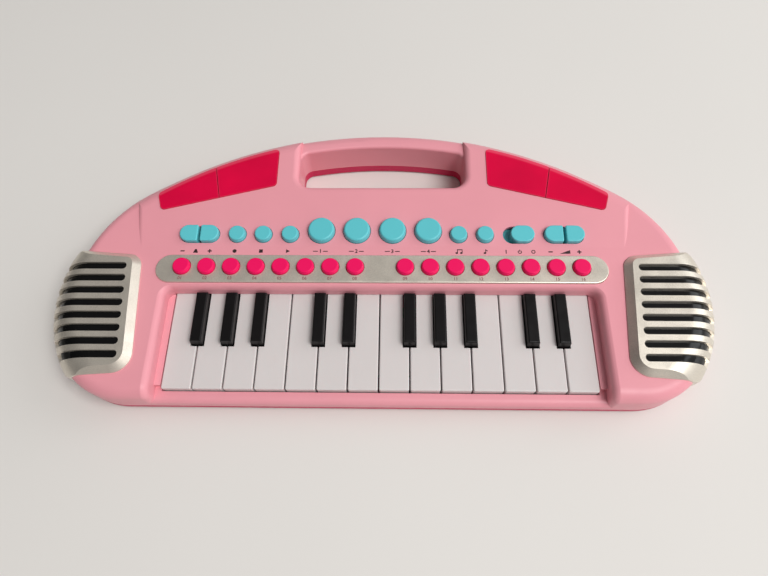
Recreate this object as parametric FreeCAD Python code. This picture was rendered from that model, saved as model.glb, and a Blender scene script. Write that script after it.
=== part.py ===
import FreeCAD, Part
import math
import os

from FreeCAD import Vector

os.makedirs("parts", exist_ok=True)

# Toy electronic keyboard: 24 hinged keys, a row of panel controls, two button mats and two speakers.
# Millimetres, +X along the keys, +Y away from the player, +Z up, origin on the floor under the middle.
# Whatever stands on the right half is drawn there and mirrored to the left.

# Shared clearances
OVERRUN = 2.0
FIT = 0.2
SAME_PLACE = 0.01
FULL_TURN = 360.0

# Case outline and shell; the width follows the keys, the depth and height follow what lies inside
SIDE_MARGIN = 68.0
BACK_RADIUS = 288.0
SIDE_RADIUS = 160.0
SHOULDER_RADIUS = 88.0
CORNER_RADIUS = 45.0
WIDEST_FROM_FRONT = 58.0
WALL = 2.5
FOOT_HEIGHT = 1.5
PARTING_HEIGHT = 8.0
DECK_EDGE_RADIUS = 8.0
BASE_EDGE_RADIUS = 3.0
TONGUE_HEIGHT = 2.2
TONGUE_WALL = 1.2

# Raised control panel and carry handle
CREASE_BEHIND_STRIP = 16.05
PANEL_TILT = 3.2
PANEL_SIDE_MARGIN = 39.8
PANEL_FLARE_SHARE = 0.15
PANEL_LEAD = 16.0
PANEL_BEYOND_BACK = 3.0
PANEL_CORNER_RADIUS = 22.0
PANEL_EDGE_RADIUS = 4.2
CROWN_RADIUS = 12.0
CROWN_SIDE_MARGIN = 11.0
HANDLE_HALF_WIDTH = 57.2
HANDLE_NEAR_FROM_BACK = 47.0
HANDLE_GAP = 1.4
HANDLE_BAR = 12.7
HANDLE_NEAR_RADIUS = 9.0
HANDLE_FAR_RADIUS = 7.0
HANDLE_EDGE_RADIUS = 2.0

# Key well
WHITE_PITCH = 19.0
WHITE_COUNT = 14
BLACK_BOUNDARIES = (1, 2, 3, 5, 6, 8, 9, 10, 12, 13)
BARE_BOUNDARIES = (4, 7, 11)
KEY_GAP = 0.8
KEY_TOP = 20.0
KEY_END_GAP = 0.8
KEY_SLOT_GAP = 0.7
VISIBLE_KEY = 62.5
RAIL_DEPTH = 7.75
RAIL_HEIGHT = 15.5
RAIL_EDGE_RADIUS = 4.0
RAIL_GAP = 0.6
RAIL_LIP = 2.1
RAIL_LIP_HEIGHT = 11.0
WELL_LEDGE = 4.0
WELL_LEDGE_DROP = 11.0
WELL_LEDGE_SET_BACK = 2.0
WELL_LEDGE_FALL = 0.4
WELL_RIM_RADIUS = 4.0
WELL_REAR_DROP = 8.0
WELL_REAR_FLARE = 3.0
WELL_CORNER_RADIUS = 1.0
RIM_DEGREES = (0.0, 15.0, 30.0, 45.0, 60.0, 75.0)
CHEEK_WALL = 10.0
CHEEK_STEP_HEIGHT = 21.0

# Keys
WHITE_SKIRT = 13.4
WHITE_FRONT_SKIRT = 10.0
KEY_SKIN = 1.6
KEY_SIDE = 1.5
KEY_CORNER_RADIUS = 1.0
KEY_EDGE_RADIUS = 0.8
STEM_BEHIND_WELL = 1.75
TAB_DEPTH = 1.8
TAB_THICK = 1.7
TAB_GAP = 0.3
TAB_WIDTH = 8.0
BLACK_WIDTH = 7.5
BLACK_TOP_WIDTH = 7.0
BLACK_TOP = 25.8
BLACK_HOLLOW_TOP = 22.6
BLACK_FROM_FRONT = 27.9
BLACK_SLOPE = 1.0
BLACK_REAR_GAP = 0.9
BLACK_FRONT_GAP = 0.9
BLACK_SIDE_GAP = 0.6
BLACK_EDGE_RADIUS = 0.9
ACTUATOR_WIDTH = 5.0
ACTUATOR_DEPTH = 4.0
WHITE_ACTUATOR_FROM_FRONT = 20.75
BLACK_ACTUATOR_FROM_WELL = 18.75
BLACK_ACTUATOR_LOW = 12.4

# Key hinge, key board and contact strip
HINGE_BEHIND_WELL = 14.0
HINGE_HEIGHT = 13.0
ROD_RADIUS = 1.5
RUNNING_FIT = 0.05
ROD_OVERHANG = 5.4
BARREL_RADIUS = 3.5
ARM_WIDTH = 6.0
ARM_LOW = 11.0
ARM_HIGH = 17.0
ARM_LEAD = 6.0
RIB_THICK = 2.5
RIB_HALF_DEPTH = 5.0
RIB_OUTSET = 3.9
KEY_BOARD_HEIGHT = 6.0
BOARD_THICK = 1.6
KEY_BOARD_MARGIN = 2.0
KEY_BOARD_FROM_FRONT = 11.75
KEY_BOARD_FROM_WELL = 3.75
CONTACT_MARGIN = 1.2
CONTACT_REAR_MARGIN = 7.8
CONTACT_SHEET = 1.0
CONTACT_DOME = 1.3
CONTACT_DOME_RADIUS = 3.5
STANDOFF_RADIUS = 3.0
STANDOFF_SHARES = (-0.9, -0.3, 0.3, 0.9)
STANDOFF_INSET = 4.0

# Silver strip and button mats
STRIP_OVERHANG = 12.0
STRIP_END = 17.0
STRIP_WIDTH = 19.5
STRIP_THICK = 1.6
STRIP_SINK = 0.6
STRIP_EDGE_RADIUS = 0.7
STRIP_BEHIND_WELL = 13.7
MAT_ROW_OFFSET = 1.1
MAT_COUNT = 8
MAT_BASE_RADIUS = 5.75
MAT_TOP_RADIUS = 5.1
MAT_RISE = 2.6
MAT_SHEET = 1.5
MAT_MARGIN = 7.0
MAT_NUB_RADIUS = 3.0
MAT_NUB = 1.6

# Panel controls
BUTTON_GAP = 0.35
SMALL_ROW = 8.8
SMALL_BASE_RADIUS = 5.75
SMALL_TOP_RADIUS = 5.1
SMALL_RISE = 3.4
SMALL_EDGE_RADIUS = 0.8
DRUM_ROW = 11.5
DRUM_BASE_RADIUS = 8.9
DRUM_TOP_RADIUS = 8.2
DRUM_RISE = 3.8
DRUM_EDGE_RADIUS = 1.4
COLLAR_RISE = 0.6
FLANGE_MARGIN = 1.3
FLANGE_THICK = 1.2
PLUNGER_RADIUS = 2.0
PLUNGER_REACH = 6.5
PLUNGER_GAP = 0.9
BUTTON_TRAVEL = 1.2
PAIR_LENGTH = 25.8
PAIR_WIDTH = 11.6
PAIR_SPLIT = 1.6
PAIR_CORNER_RADIUS = 1.2
PAIR_EDGE_RADIUS = 0.9
POWER_SLOT_LENGTH = 20.4
POWER_SLOT_WIDTH = 12.4
KNOB_LENGTH = 15.4
KNOB_WIDTH = 11.6
KNOB_RISE = 3.2
KNOB_END_GAP = 0.25
KNOB_PLATE_LENGTH = 26.2
KNOB_PLATE_WIDTH = 15.0
KNOB_PLATE_GAP = 0.4

# Places of the panel controls, as shares of the key bed's half width
SMALL_BUTTON_SHARES = {
    "record_button": -0.7105,
    "stop_button": -0.5812,
    "play_button": -0.4474,
    "demo_all_button": 0.3835,
    "demo_one_button": 0.5128,
}
DRUM_PAD_SHARES = {
    "bass_drum_pad": -0.2932,
    "snare_drum_pad": -0.1173,
    "hi_hat_pad": 0.0586,
    "cymbal_pad": 0.2346,
}
PAIR_SHARES = {"tempo": -0.8977, "volume": 0.8977}
POWER_SHARE = 0.6774

# Main board and its posts
MAIN_BOARD_GAP = 1.25
MAIN_BOARD_OVERHANG = 7.0
MAIN_BOARD_EDGE = 3.5
BAY_BOARD_GAP = 1.2
POST_RADIUS = 2.5
POST_SHARES = (-0.93, -0.43, 0.43, 0.93)
POST_BEFORE_CREASE = 3.5
POST_BEHIND_CREASE = 21.5

# Light lenses, light boards and diodes
LENS_FROM_HANDLE = 14.6
LENS_FROM_PANEL_SIDE = 12.7
LENS_INSET = 0.0
LENS_DROP = 19.0
LENS_LEAN_SHARE = 0.29
LENS_RIM = 7.6
LENS_CORNER_RADIUS = 3.0
LENS_PROUD = 0.5
LENS_SEAT = 1.7
LENS_LEDGE = 1.5
LENS_SEAM = 0.5
LENS_SEAM_SHARE = 0.4947
LENS_SEAM_LEAN_SHARE = 0.2
LIGHT_BOARD_INNER_INSET = 12.2
LIGHT_BOARD_OUTER_INSET = 12.5
LIGHT_BOARD_LEAD = 2.5
LIGHT_BOARD_DEPTH = 24.0
LIGHT_BOARD_DROP = 5.0
LIGHT_BOARD_THICK = 1.2
LIGHT_POST_SHARES = ((0.154, 0.375), (0.846, 0.125))
DIODE_SHARES = ((0.154, 0.875), (0.846, 0.75))
DIODE_RADIUS = 1.5
DIODE_BASE_RADIUS = 1.9
DIODE_BASE = 0.8
DIODE_HEIGHT = 3.6

# Speaker grilles, liners and speakers
POD_INNER_MARGIN = 22.4
POD_OVERHANG = 10.2
POD_BEHIND_WELL = 23.1
POD_FRONT_FROM_FRONT = 15.0
POD_REACH = 90.0
POD_LEAN_SHARE = 0.0952
POD_FAN_SHARE = 0.075
POD_BACK_CORNER = 9.0
POD_FRONT_CORNER = 12.0
POD_OUTER_CORNER = 16.0
POD_CENTRE_SET_BACK = 11.325
POD_RADIUS = 85.0
POD_RISE = 5.0
POD_DOME_RADIUS = 22.0
POD_BEVEL = 4.0
POD_KERB = 0.8
POD_BOTTOM = 14.0
POD_SKIN = 2.0
SLOT_COUNT = 8
SLOT_WIDTH = 4.8
SLOT_END_RADIUS = 2.3
SLOT_BACK_MARGIN = 9.7
SLOT_FRONT_MARGIN = 9.78
SLOT_INNER_MARGIN = 6.6
SLOT_BELOW_DECK = 10.0
LINER_SKIN = 1.2
SLIT_WIDTH = 1.0
SLIT_INSET = 6.0
SLIT_LENGTH = 22.0
SPEAKER_RADIUS = 18.0
SPEAKER_FLANGE = 1.5
SPEAKER_HOLE_RADIUS = 13.0
BASKET_RADIUS = 15.5
CONE_RADIUS = 14.5
CONE_RIM = 0.9
CONE_DEPTH = 6.0
DUST_CAP_RADIUS = 5.0
DUST_CAP_RISE = 1.5
NECK_RADIUS = 9.0
NECK_DROP = 9.0
MAGNET_RADIUS = 11.0
MAGNET_DROP = 15.0

# Screws, feet, battery bay
FRONT_BOSS_FROM_SIDE = 43.0
FRONT_BOSS_FROM_FRONT = 16.5
REAR_BOSS_FROM_SIDE = 33.0
REAR_BOSS_FROM_BACK = 74.5
HANDLE_BOSS_MARGIN = 5.0
HANDLE_BOSS_LEAD = 5.5
BOSS_RADIUS = 3.5
SOCKET_RADIUS = 4.2
SCREW_RADIUS = 1.3
SCREW_HEAD_RADIUS = 2.8
SCREW_HEAD = 2.0
SCREW_LENGTH = 10.0
SCREW_SINK = 3.5
RECESS_SLOT = 0.7
RECESS_DEPTH = 1.0
RECESS_HALF = 1.7
FLOOR = 2.5
PAD_RADIUS = 7.0
PAD_SINK = 0.5
PAD_FROM_SIDE = 83.0
PAD_FROM_FRONT = 14.0
PAD_FROM_BACK = 47.0
CELL_RADIUS = 7.1
CELL_LENGTH = 49.0
CELL_NUB_RADIUS = 2.7
CELL_NUB = 1.3
CELL_GAP = 0.7
CELL_COUNT = 3
CELL_SLACK = 0.5
CONTACT_ROOM = 2.7
BAY_GAP = 4.65
BAY_WALL = 1.6
DOOR_THICK = 1.5
DOOR_LEDGE = 3.0
DOOR_TAB_LENGTH = 9.0
DOOR_TAB_WIDTH = 12.0
DOOR_TAB_THICK = 3.0
CONTACT_PLATE = 0.5
CONTACT_PLATE_WIDTH = 11.0
CONTACT_PLATE_HEIGHT = 10.0
CONTACT_NUB_RADIUS = 2.5
LEAF_HALF = 4.5
LEAF_HEIGHT = 5.0

# Battery bay and the heights above it
CELL_PITCH = 2 * CELL_RADIUS + CELL_GAP
CELL_Z = FOOT_HEIGHT + DOOR_THICK + CELL_SLACK + CELL_RADIUS
BAY_TOP = CELL_Z + CELL_RADIUS + CELL_SLACK
BAY_HALF_DEPTH = CELL_PITCH * (CELL_COUNT - 1) / 2 + CELL_RADIUS + CELL_SLACK
BAY_HALF_LENGTH = CELL_LENGTH / 2 + CELL_NUB + CONTACT_ROOM
DOOR_SCREW_X = BAY_HALF_LENGTH + DOOR_LEDGE + DOOR_TAB_LENGTH / 2
DOOR_BOSS_TOP = FOOT_HEIGHT + SCREW_HEAD + SCREW_LENGTH + WALL
MAIN_BOARD_HEIGHT = BAY_TOP + BAY_WALL + BAY_BOARD_GAP
DECK_HEIGHT = MAIN_BOARD_HEIGHT + BOARD_THICK + PLUNGER_GAP + PLUNGER_REACH
POD_TOP = DECK_HEIGHT + POD_RISE
SKY = 2 * POD_TOP
FLOOR_TOP = FOOT_HEIGHT + FLOOR
STRIP_TOP = DECK_HEIGHT - STRIP_SINK + STRIP_THICK
SPEAKER_TOP = DECK_HEIGHT - WALL
LIGHT_BOARD_HEIGHT = DECK_HEIGHT - LIGHT_BOARD_DROP
LEDGE_HEIGHT = DECK_HEIGHT - WELL_LEDGE_DROP
CHEEK_LOW = LEDGE_HEIGHT - WALL
KNOB_PLATE_DROP = WALL + FIT + FLANGE_THICK + BUTTON_TRAVEL + KNOB_PLATE_GAP

# Depth of the case, from the front rail over keys, hinge and battery bay to the handle
HINGE_FROM_FRONT = RAIL_DEPTH + VISIBLE_KEY + HINGE_BEHIND_WELL
BAY_FROM_HINGE = RIB_HALF_DEPTH + BAY_GAP + BAY_WALL + BAY_HALF_DEPTH
HANDLE_FROM_BAY = BAY_HALF_DEPTH + BAY_WALL + HANDLE_GAP + WALL
BODY_DEPTH = HINGE_FROM_FRONT + BAY_FROM_HINGE + HANDLE_FROM_BAY + HANDLE_NEAR_FROM_BACK
FRONT_Y = -BODY_DEPTH / 2
BACK_Y = BODY_DEPTH / 2
BACK_CENTRE = Vector(0, BACK_Y - BACK_RADIUS, 0)
BROW_Y = FRONT_Y + DECK_EDGE_RADIUS
KEY_FRONT_Y = FRONT_Y + RAIL_DEPTH
LEDGE_FRONT_Y = max(BROW_Y, KEY_FRONT_Y) + WELL_LEDGE_SET_BACK
WELL_REAR_Y = KEY_FRONT_Y + VISIBLE_KEY
NOTCH_Y = KEY_FRONT_Y + BLACK_FROM_FRONT - BLACK_FRONT_GAP
HINGE_Y = FRONT_Y + HINGE_FROM_FRONT
BAY_Y = HINGE_Y + BAY_FROM_HINGE
HANDLE_NEAR_Y = BACK_Y - HANDLE_NEAR_FROM_BACK
STRIP_Y = WELL_REAR_Y + STRIP_BEHIND_WELL
CREASE_Y = STRIP_Y + CREASE_BEHIND_STRIP
MAT_Y = STRIP_Y + MAT_ROW_OFFSET
BLACK_ACTUATOR_FROM_FRONT = VISIBLE_KEY - BLACK_ACTUATOR_FROM_WELL
KEY_BOARD_DEPTH = VISIBLE_KEY - KEY_BOARD_FROM_FRONT - KEY_BOARD_FROM_WELL
CONTACT_DEPTH = KEY_BOARD_DEPTH - CONTACT_MARGIN - CONTACT_REAR_MARGIN
POST_ROWS = (CREASE_Y - POST_BEFORE_CREASE, CREASE_Y + POST_BEHIND_CREASE)
MAIN_BOARD_Y = WELL_REAR_Y + WALL + MAIN_BOARD_GAP
MAIN_BOARD_REAR = POST_ROWS[-1] + MAIN_BOARD_EDGE
LENS_INNER_Y = HANDLE_NEAR_Y - LENS_INSET
LENS_OUTER_Y = LENS_INNER_Y - LENS_DROP
LIGHT_BOARD_Y = LENS_OUTER_Y - LIGHT_BOARD_LEAD
POD_FRONT_Y = FRONT_Y + POD_FRONT_FROM_FRONT
POD_BACK_Y = WELL_REAR_Y + POD_BEHIND_WELL
POD_CENTRE_Y = (POD_FRONT_Y + POD_BACK_Y) / 2 + POD_CENTRE_SET_BACK
SLOT_FIRST_Y = POD_BACK_Y - SLOT_BACK_MARGIN
SLOT_PITCH = (SLOT_FIRST_Y - POD_FRONT_Y - SLOT_FRONT_MARGIN) / (SLOT_COUNT - 1)
SPEAKER_Y = (POD_FRONT_Y + POD_BACK_Y) / 2

# Width of the case, from the keys outwards
KEYBED_HALF = WHITE_PITCH * WHITE_COUNT / 2
WELL_HALF = KEYBED_HALF - KEY_GAP / 2 + KEY_END_GAP
BODY_HALF = KEYBED_HALF + SIDE_MARGIN
STRIP_LENGTH = 2 * (KEYBED_HALF + STRIP_OVERHANG)
MAT_PITCH = (STRIP_LENGTH / 2 - STRIP_END) / MAT_COUNT
MAT_HOLE_RADIUS = MAT_BASE_RADIUS + BUTTON_GAP
MAIN_BOARD_HALF = KEYBED_HALF + MAIN_BOARD_OVERHANG
PANEL_HALF_AT_CREASE = BODY_HALF - PANEL_SIDE_MARGIN
CROWN_HALF_WIDTH = BODY_HALF - CROWN_SIDE_MARGIN
LENS_INNER_X = HANDLE_HALF_WIDTH + LENS_FROM_HANDLE
LENS_OUTER_X = PANEL_HALF_AT_CREASE - LENS_FROM_PANEL_SIDE
LIGHT_BOARD_INNER_X = LENS_INNER_X + LIGHT_BOARD_INNER_INSET
LIGHT_BOARD_LENGTH = LENS_OUTER_X - LIGHT_BOARD_OUTER_INSET - LIGHT_BOARD_INNER_X
POD_INNER_X = KEYBED_HALF + POD_INNER_MARGIN
POD_CENTRE_X = BODY_HALF + POD_OVERHANG - POD_RADIUS
SLOT_INNER_X = POD_INNER_X + SLOT_INNER_MARGIN
SPEAKER_X = (WELL_HALF + CHEEK_WALL + BODY_HALF - DECK_EDGE_RADIUS) / 2
POWER_X = KEYBED_HALF * POWER_SHARE
KNOB_X = POWER_X + (POWER_SLOT_LENGTH - KNOB_LENGTH) / 2 - KNOB_END_GAP
BOSS_POINTS = (
    (BODY_HALF - FRONT_BOSS_FROM_SIDE, FRONT_Y + FRONT_BOSS_FROM_FRONT),
    (BODY_HALF - REAR_BOSS_FROM_SIDE, BACK_Y - REAR_BOSS_FROM_BACK),
    (HANDLE_HALF_WIDTH + HANDLE_BOSS_MARGIN, HANDLE_NEAR_Y - HANDLE_BOSS_LEAD),
)
PAD_POINTS = (
    (BODY_HALF - PAD_FROM_SIDE, FRONT_Y + PAD_FROM_FRONT),
    (BODY_HALF - PAD_FROM_SIDE, BACK_Y - PAD_FROM_BACK),
)
X_AXIS = Vector(1, 0, 0)
Y_AXIS = Vector(0, 1, 0)
Z_AXIS = Vector(0, 0, 1)
PANEL_PLACE = FreeCAD.Placement(Vector(0, CREASE_Y, DECK_HEIGHT), FreeCAD.Rotation(X_AXIS, PANEL_TILT))
PANEL_NORMAL = PANEL_PLACE.Rotation.multVec(Z_AXIS)


def box(x0, x1, y0, y1, z0, z1):
    """Block between two corners."""
    return Part.makeBox(x1 - x0, y1 - y0, z1 - z0, Vector(x0, y0, z0))


def upright(radius, x, y, z0, z1):
    """Upright cylinder at a plan point."""
    return Part.makeCylinder(radius, z1 - z0, Vector(x, y, z0))


def lengthwise(radius, x0, x1, y, z):
    """Cylinder lying along X."""
    return Part.makeCylinder(radius, x1 - x0, Vector(x0, y, z), X_AXIS)


def prism(wire, z0, z1):
    """Plan outline raised from one height to another."""
    face = Part.Face(wire)
    face.translate(Vector(0, 0, z0))
    return face.extrude(Vector(0, 0, z1 - z0))


def turned(points, x, y):
    """Solid of revolution about an upright axis, from (radius, height) points."""
    outline = [Vector(radius, 0, height) for radius, height in points]
    solid = Part.Face(Part.makePolygon(outline + outline[:1])).revolve(Vector(), Z_AXIS, FULL_TURN)
    solid.translate(Vector(x, y, 0))
    return solid


def polygon(points):
    """Closed plan outline of straight sides with sharp corners."""
    outline = [Vector(x, y, 0) for x, y in points]
    return Part.makePolygon(outline + outline[:1])


def mirrored(shape):
    """The same shape on the left half."""
    return shape.mirror(Vector(), X_AXIS)


def both_sides(shape):
    """A shape of the right half with its left twin."""
    return [shape, mirrored(shape)]


def arc(start, middle, end):
    """Arc edge through three points."""
    return Part.Arc(start, middle, end).toShape()


def rounded_polygon(points, radii):
    """Closed plan outline of straight sides with a tangent arc at each corner."""
    corners = []
    for index, radius in enumerate(radii):
        corner = Vector(*points[index], 0)
        before = (Vector(*points[index - 1], 0) - corner).normalize()
        after = (Vector(*points[(index + 1) % len(points)], 0) - corner).normalize()
        half = before.getAngle(after) / 2
        reach = radius / math.tan(half)
        centre = corner + (before + after).normalize() * (radius / math.sin(half))
        middle = centre + (corner - centre).normalize() * radius
        corners.append((corner + before * reach, middle, corner + after * reach))
    edges = []
    for index, (start, middle, end) in enumerate(corners):
        edges.append(Part.makeLine(corners[index - 1][2], start))
        edges.append(arc(start, middle, end))
    return Part.Wire(edges)


def stadium(length, width, x, y):
    """Closed plan outline with straight sides along X and full-round ends."""
    end = (length - width) / 2
    radius = width / 2
    low_left, low_right = Vector(x - end, y - radius, 0), Vector(x + end, y - radius, 0)
    high_left, high_right = Vector(x - end, y + radius, 0), Vector(x + end, y + radius, 0)
    edges = [
        Part.makeLine(low_left, low_right),
        arc(low_right, Vector(x + end + radius, y, 0), high_right),
        Part.makeLine(high_right, high_left),
        arc(high_left, Vector(x - end - radius, y, 0), low_left),
    ]
    return Part.Wire(edges)


def flat_face(shape, normal):
    """Largest flat face that looks along a direction."""
    flats = [face for face in shape.Faces if isinstance(face.Surface, Part.Plane)]
    facing = [face for face in flats if face.normalAt(0, 0).getAngle(normal) < SAME_PLACE]
    return max(facing, key=lambda face: face.Area)


def upright_edges(shape):
    """Straight edges along Z."""
    straight = [edge for edge in shape.Edges if isinstance(edge.Curve, Part.Line)]
    return [edge for edge in straight if abs(edge.tangentAt(edge.FirstParameter).z) > 1 - SAME_PLACE]


def on_panel(shape):
    """Move a shape drawn at the panel's crease into the tilted panel's place."""
    moved = shape.copy()
    moved.Placement = PANEL_PLACE.multiply(moved.Placement)
    return moved


def case_outline(inset):
    """Plan outline of the case: straight front, then tangent corner, side, shoulder and back arcs."""
    side = Vector(BODY_HALF - SIDE_RADIUS, FRONT_Y + WIDEST_FROM_FRONT, 0)
    corner_y = FRONT_Y + CORNER_RADIUS
    corner_x = side.x + math.sqrt((SIDE_RADIUS - CORNER_RADIUS) ** 2 - (corner_y - side.y) ** 2)
    corner = Vector(corner_x, corner_y, 0)
    near = SIDE_RADIUS - SHOULDER_RADIUS
    far = BACK_RADIUS - SHOULDER_RADIUS
    along = BACK_CENTRE - side
    reach = (along.Length ** 2 + near ** 2 - far ** 2) / (2 * along.Length)
    rise = math.sqrt(near ** 2 - reach ** 2)
    along.normalize()
    shoulder = side + along * reach + Vector(-along.y, along.x, 0) * rise
    to_corner = (corner - side).normalize()
    to_shoulder = (shoulder - side).normalize()
    to_back = (shoulder - BACK_CENTRE).normalize()
    chain = (
        (corner, CORNER_RADIUS - inset, -Y_AXIS, to_corner),
        (side, SIDE_RADIUS - inset, to_corner, to_shoulder),
        (shoulder, SHOULDER_RADIUS - inset, to_shoulder, to_back),
    )
    right = []
    left = []
    for centre, radius, start, end in chain:
        bend = [centre + way * radius for way in (start, (start + end).normalize(), end)]
        right.append(arc(*bend))
        left.insert(0, arc(*[Vector(-point.x, point.y, 0) for point in reversed(bend)]))
    first = corner - Y_AXIS * (CORNER_RADIUS - inset)
    last = shoulder + to_back * (SHOULDER_RADIUS - inset)
    back = arc(last, Vector(0, BACK_Y - inset, 0), Vector(-last.x, last.y, 0))
    front = Part.makeLine(Vector(-first.x, first.y, 0), first)
    return Part.Wire([front] + right + [back] + left)


def back_disc(radius, z0, z1):
    """Upright disc about the centre of the case's back arc."""
    return upright(radius, BACK_CENTRE.x, BACK_CENTRE.y, z0, z1)


def handle_hole(grow):
    """Finger hole of the carry handle, following the back arc on its far side."""
    half = HANDLE_HALF_WIDTH + grow
    near = HANDLE_NEAR_Y - grow
    hole = box(-half, half, near, BACK_Y + OVERRUN, 0, SKY)
    hole = hole.common(back_disc(BACK_RADIUS - HANDLE_BAR + grow, 0, SKY))
    edges = [edge for edge in upright_edges(hole) if edge.CenterOfMass.y < near + OVERRUN]
    hole = hole.makeFillet(HANDLE_NEAR_RADIUS + grow, edges)
    farthest = max(edge.CenterOfMass.y for edge in upright_edges(hole))
    edges = [edge for edge in upright_edges(hole) if edge.CenterOfMass.y > farthest - OVERRUN]
    return hole.makeFillet(HANDLE_FAR_RADIUS + grow, edges)


def handle_notch(grow):
    """Opening of the raised panel above the handle, running out at the back."""
    half = HANDLE_HALF_WIDTH + grow
    near = HANDLE_NEAR_Y - grow
    points = ((-half, near), (half, near), (half, BACK_Y + SKY), (-half, BACK_Y + SKY))
    radius = HANDLE_NEAR_RADIUS + grow
    return prism(rounded_polygon(points, (radius,) * len(points)), 0, SKY)


def above_panel(rise):
    """Everything above a plane parallel to the tilted panel."""
    reach = BODY_HALF + SKY
    return on_panel(box(-reach, reach, -BODY_DEPTH, BODY_DEPTH, rise, SKY))


def crown(grow):
    """Ground under the tilted panel plane, rounded over along the back arc."""
    front_y = CREASE_Y - PANEL_LEAD
    ground = box(-CROWN_HALF_WIDTH, CROWN_HALF_WIDTH, front_y, BACK_Y + SKY, PARTING_HEIGHT, SKY)
    ground = ground.common(back_disc(BACK_RADIUS + grow, PARTING_HEIGHT, SKY)).cut(above_panel(grow))
    rims = [edge for edge in flat_face(ground, PANEL_NORMAL).Edges if not isinstance(edge.Curve, Part.Line)]
    return ground.makeFillet(CROWN_RADIUS + grow, rims)


def panel_block(inset):
    """Raised panel in plan, with the handle's notch, under the tilted plane."""
    front_y = CREASE_Y - PANEL_LEAD + inset
    front_half = PANEL_HALF_AT_CREASE - (CREASE_Y - front_y) * PANEL_FLARE_SHARE - inset
    back_half = PANEL_HALF_AT_CREASE + (BACK_Y - CREASE_Y) * PANEL_FLARE_SHARE - inset
    corners = ((-front_half, front_y), (front_half, front_y), (back_half, BACK_Y), (-back_half, BACK_Y))
    block = prism(polygon(corners), PARTING_HEIGHT, SKY)
    block = block.common(back_disc(BACK_RADIUS + PANEL_BEYOND_BACK - inset, PARTING_HEIGHT, SKY))
    edges = [edge for edge in upright_edges(block) if edge.CenterOfMass.y > CREASE_Y]
    block = block.makeFillet(PANEL_CORNER_RADIUS - inset, edges)
    return block.cut(handle_notch(inset)).cut(above_panel(-inset))


def raised_panel():
    """Raised panel with its edges rounded over."""
    block = panel_block(0)
    block = block.makeFillet(PANEL_EDGE_RADIUS, flat_face(block, PANEL_NORMAL).Edges)
    return block.common(crown(0))


def deck():
    """Lower part of the top case with rounded edges and the handle's hole."""
    slab = prism(case_outline(0), PARTING_HEIGHT, DECK_HEIGHT)
    slab = slab.makeFillet(DECK_EDGE_RADIUS, flat_face(slab, Z_AXIS).Edges)
    slab = slab.cut(handle_hole(0))
    top = flat_face(slab, Z_AXIS)
    holes = [wire for wire in top.Wires if not wire.isSame(top.OuterWire)]
    return slab.makeFillet(HANDLE_EDGE_RADIUS, [edge for wire in holes for edge in wire.Edges])


def rim_stations(drop):
    """Half width of the key well beside its ledges, from a drop below the deck up over the rounded rim."""
    wall = WELL_HALF + WELL_LEDGE
    turns = [math.radians(degrees) for degrees in RIM_DEGREES]
    stations = [(wall, -drop)]
    for turn in turns:
        half = wall + WELL_RIM_RADIUS * (1 - math.cos(turn))
        stations.append((half, WELL_RIM_RADIUS * (math.sin(turn) - 1)))
    half, height = stations[-1]
    stations.append((half + (OVERRUN - height) * math.tan(turns[-1]), OVERRUN))
    return stations


def rear_flare(height):
    """How far the well's rear wall leans back at a height above or below the deck."""
    rise = min(max(1 + height / WELL_REAR_DROP, 0), 1)
    return WELL_REAR_FLARE * (1 - math.sqrt(1 - rise ** 2))


def well_mouth():
    """Mouth of the key well: a ledge beside the end keys, side walls with rounded rims, a flared rear."""
    wires = []
    for half, height in [(WELL_HALF, -WELL_LEDGE_DROP)] + rim_stations(WELL_LEDGE_DROP - WELL_LEDGE_FALL):
        rear = WELL_REAR_Y + rear_flare(height)
        points = ((-half, FRONT_Y - SKY), (half, FRONT_Y - SKY), (half, rear), (-half, rear))
        radius = WELL_CORNER_RADIUS + half - WELL_HALF
        wire = rounded_polygon(points, (WELL_CORNER_RADIUS, WELL_CORNER_RADIUS, radius, radius))
        wire.translate(Vector(0, 0, DECK_HEIGHT + height))
        wires.append(wire)
    mouth = Part.makeLoft(wires, True, True)
    return mouth.cut(box(-BODY_HALF, BODY_HALF, FRONT_Y - 2 * SKY, BROW_Y, 0, SKY))


def front_rims():
    """Right and left rims of the mouth at the front: half widths with their distance from the brow's axis."""
    right = [(half, DECK_EDGE_RADIUS + height) for half, height in rim_stations(DECK_EDGE_RADIUS)]
    return right, [(-half, depth) for half, depth in reversed(right)]


def front_brow():
    """Part of the mouth that rolls over the case's front edge."""
    right, left = front_rims()
    axis = Vector(0, BROW_Y, DECK_HEIGHT - DECK_EDGE_RADIUS)
    outline = [axis + Vector(half, 0, depth) for half, depth in right + left]
    face = Part.Face(Part.makePolygon(outline + outline[:1]))
    return face.revolve(axis, X_AXIS, FULL_TURN / 4)


def rail_clearance():
    """Space over the front rail, with the rail's rounded front edge, widening between the cheeks' rims."""
    right, left = front_rims()
    low = RAIL_HEIGHT - RAIL_EDGE_RADIUS
    top = DECK_HEIGHT - DECK_EDGE_RADIUS
    rear = LEDGE_FRONT_Y
    centre = Vector(-BODY_HALF, FRONT_Y + RAIL_EDGE_RADIUS, low)
    start = centre - Y_AXIS * RAIL_EDGE_RADIUS
    middle = centre + (Z_AXIS - Y_AXIS).normalize() * RAIL_EDGE_RADIUS
    end = centre + Z_AXIS * RAIL_EDGE_RADIUS
    places = ((rear, RAIL_HEIGHT), (rear, top), (FRONT_Y - SKY, top), (FRONT_Y - SKY, low))
    path = [end] + [Vector(-BODY_HALF, y, z) for y, z in places] + [start]
    wire = Part.Wire([arc(start, middle, end)] + Part.makePolygon(path).Edges)
    space = Part.Face(wire).extrude(X_AXIS * (2 * BODY_HALF))
    plan = [(half, BROW_Y - depth) for half, depth in right + left]
    wall = WELL_HALF + WELL_LEDGE
    return space.common(prism(polygon([(-wall, rear), (wall, rear)] + plan), 0, top))


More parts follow.
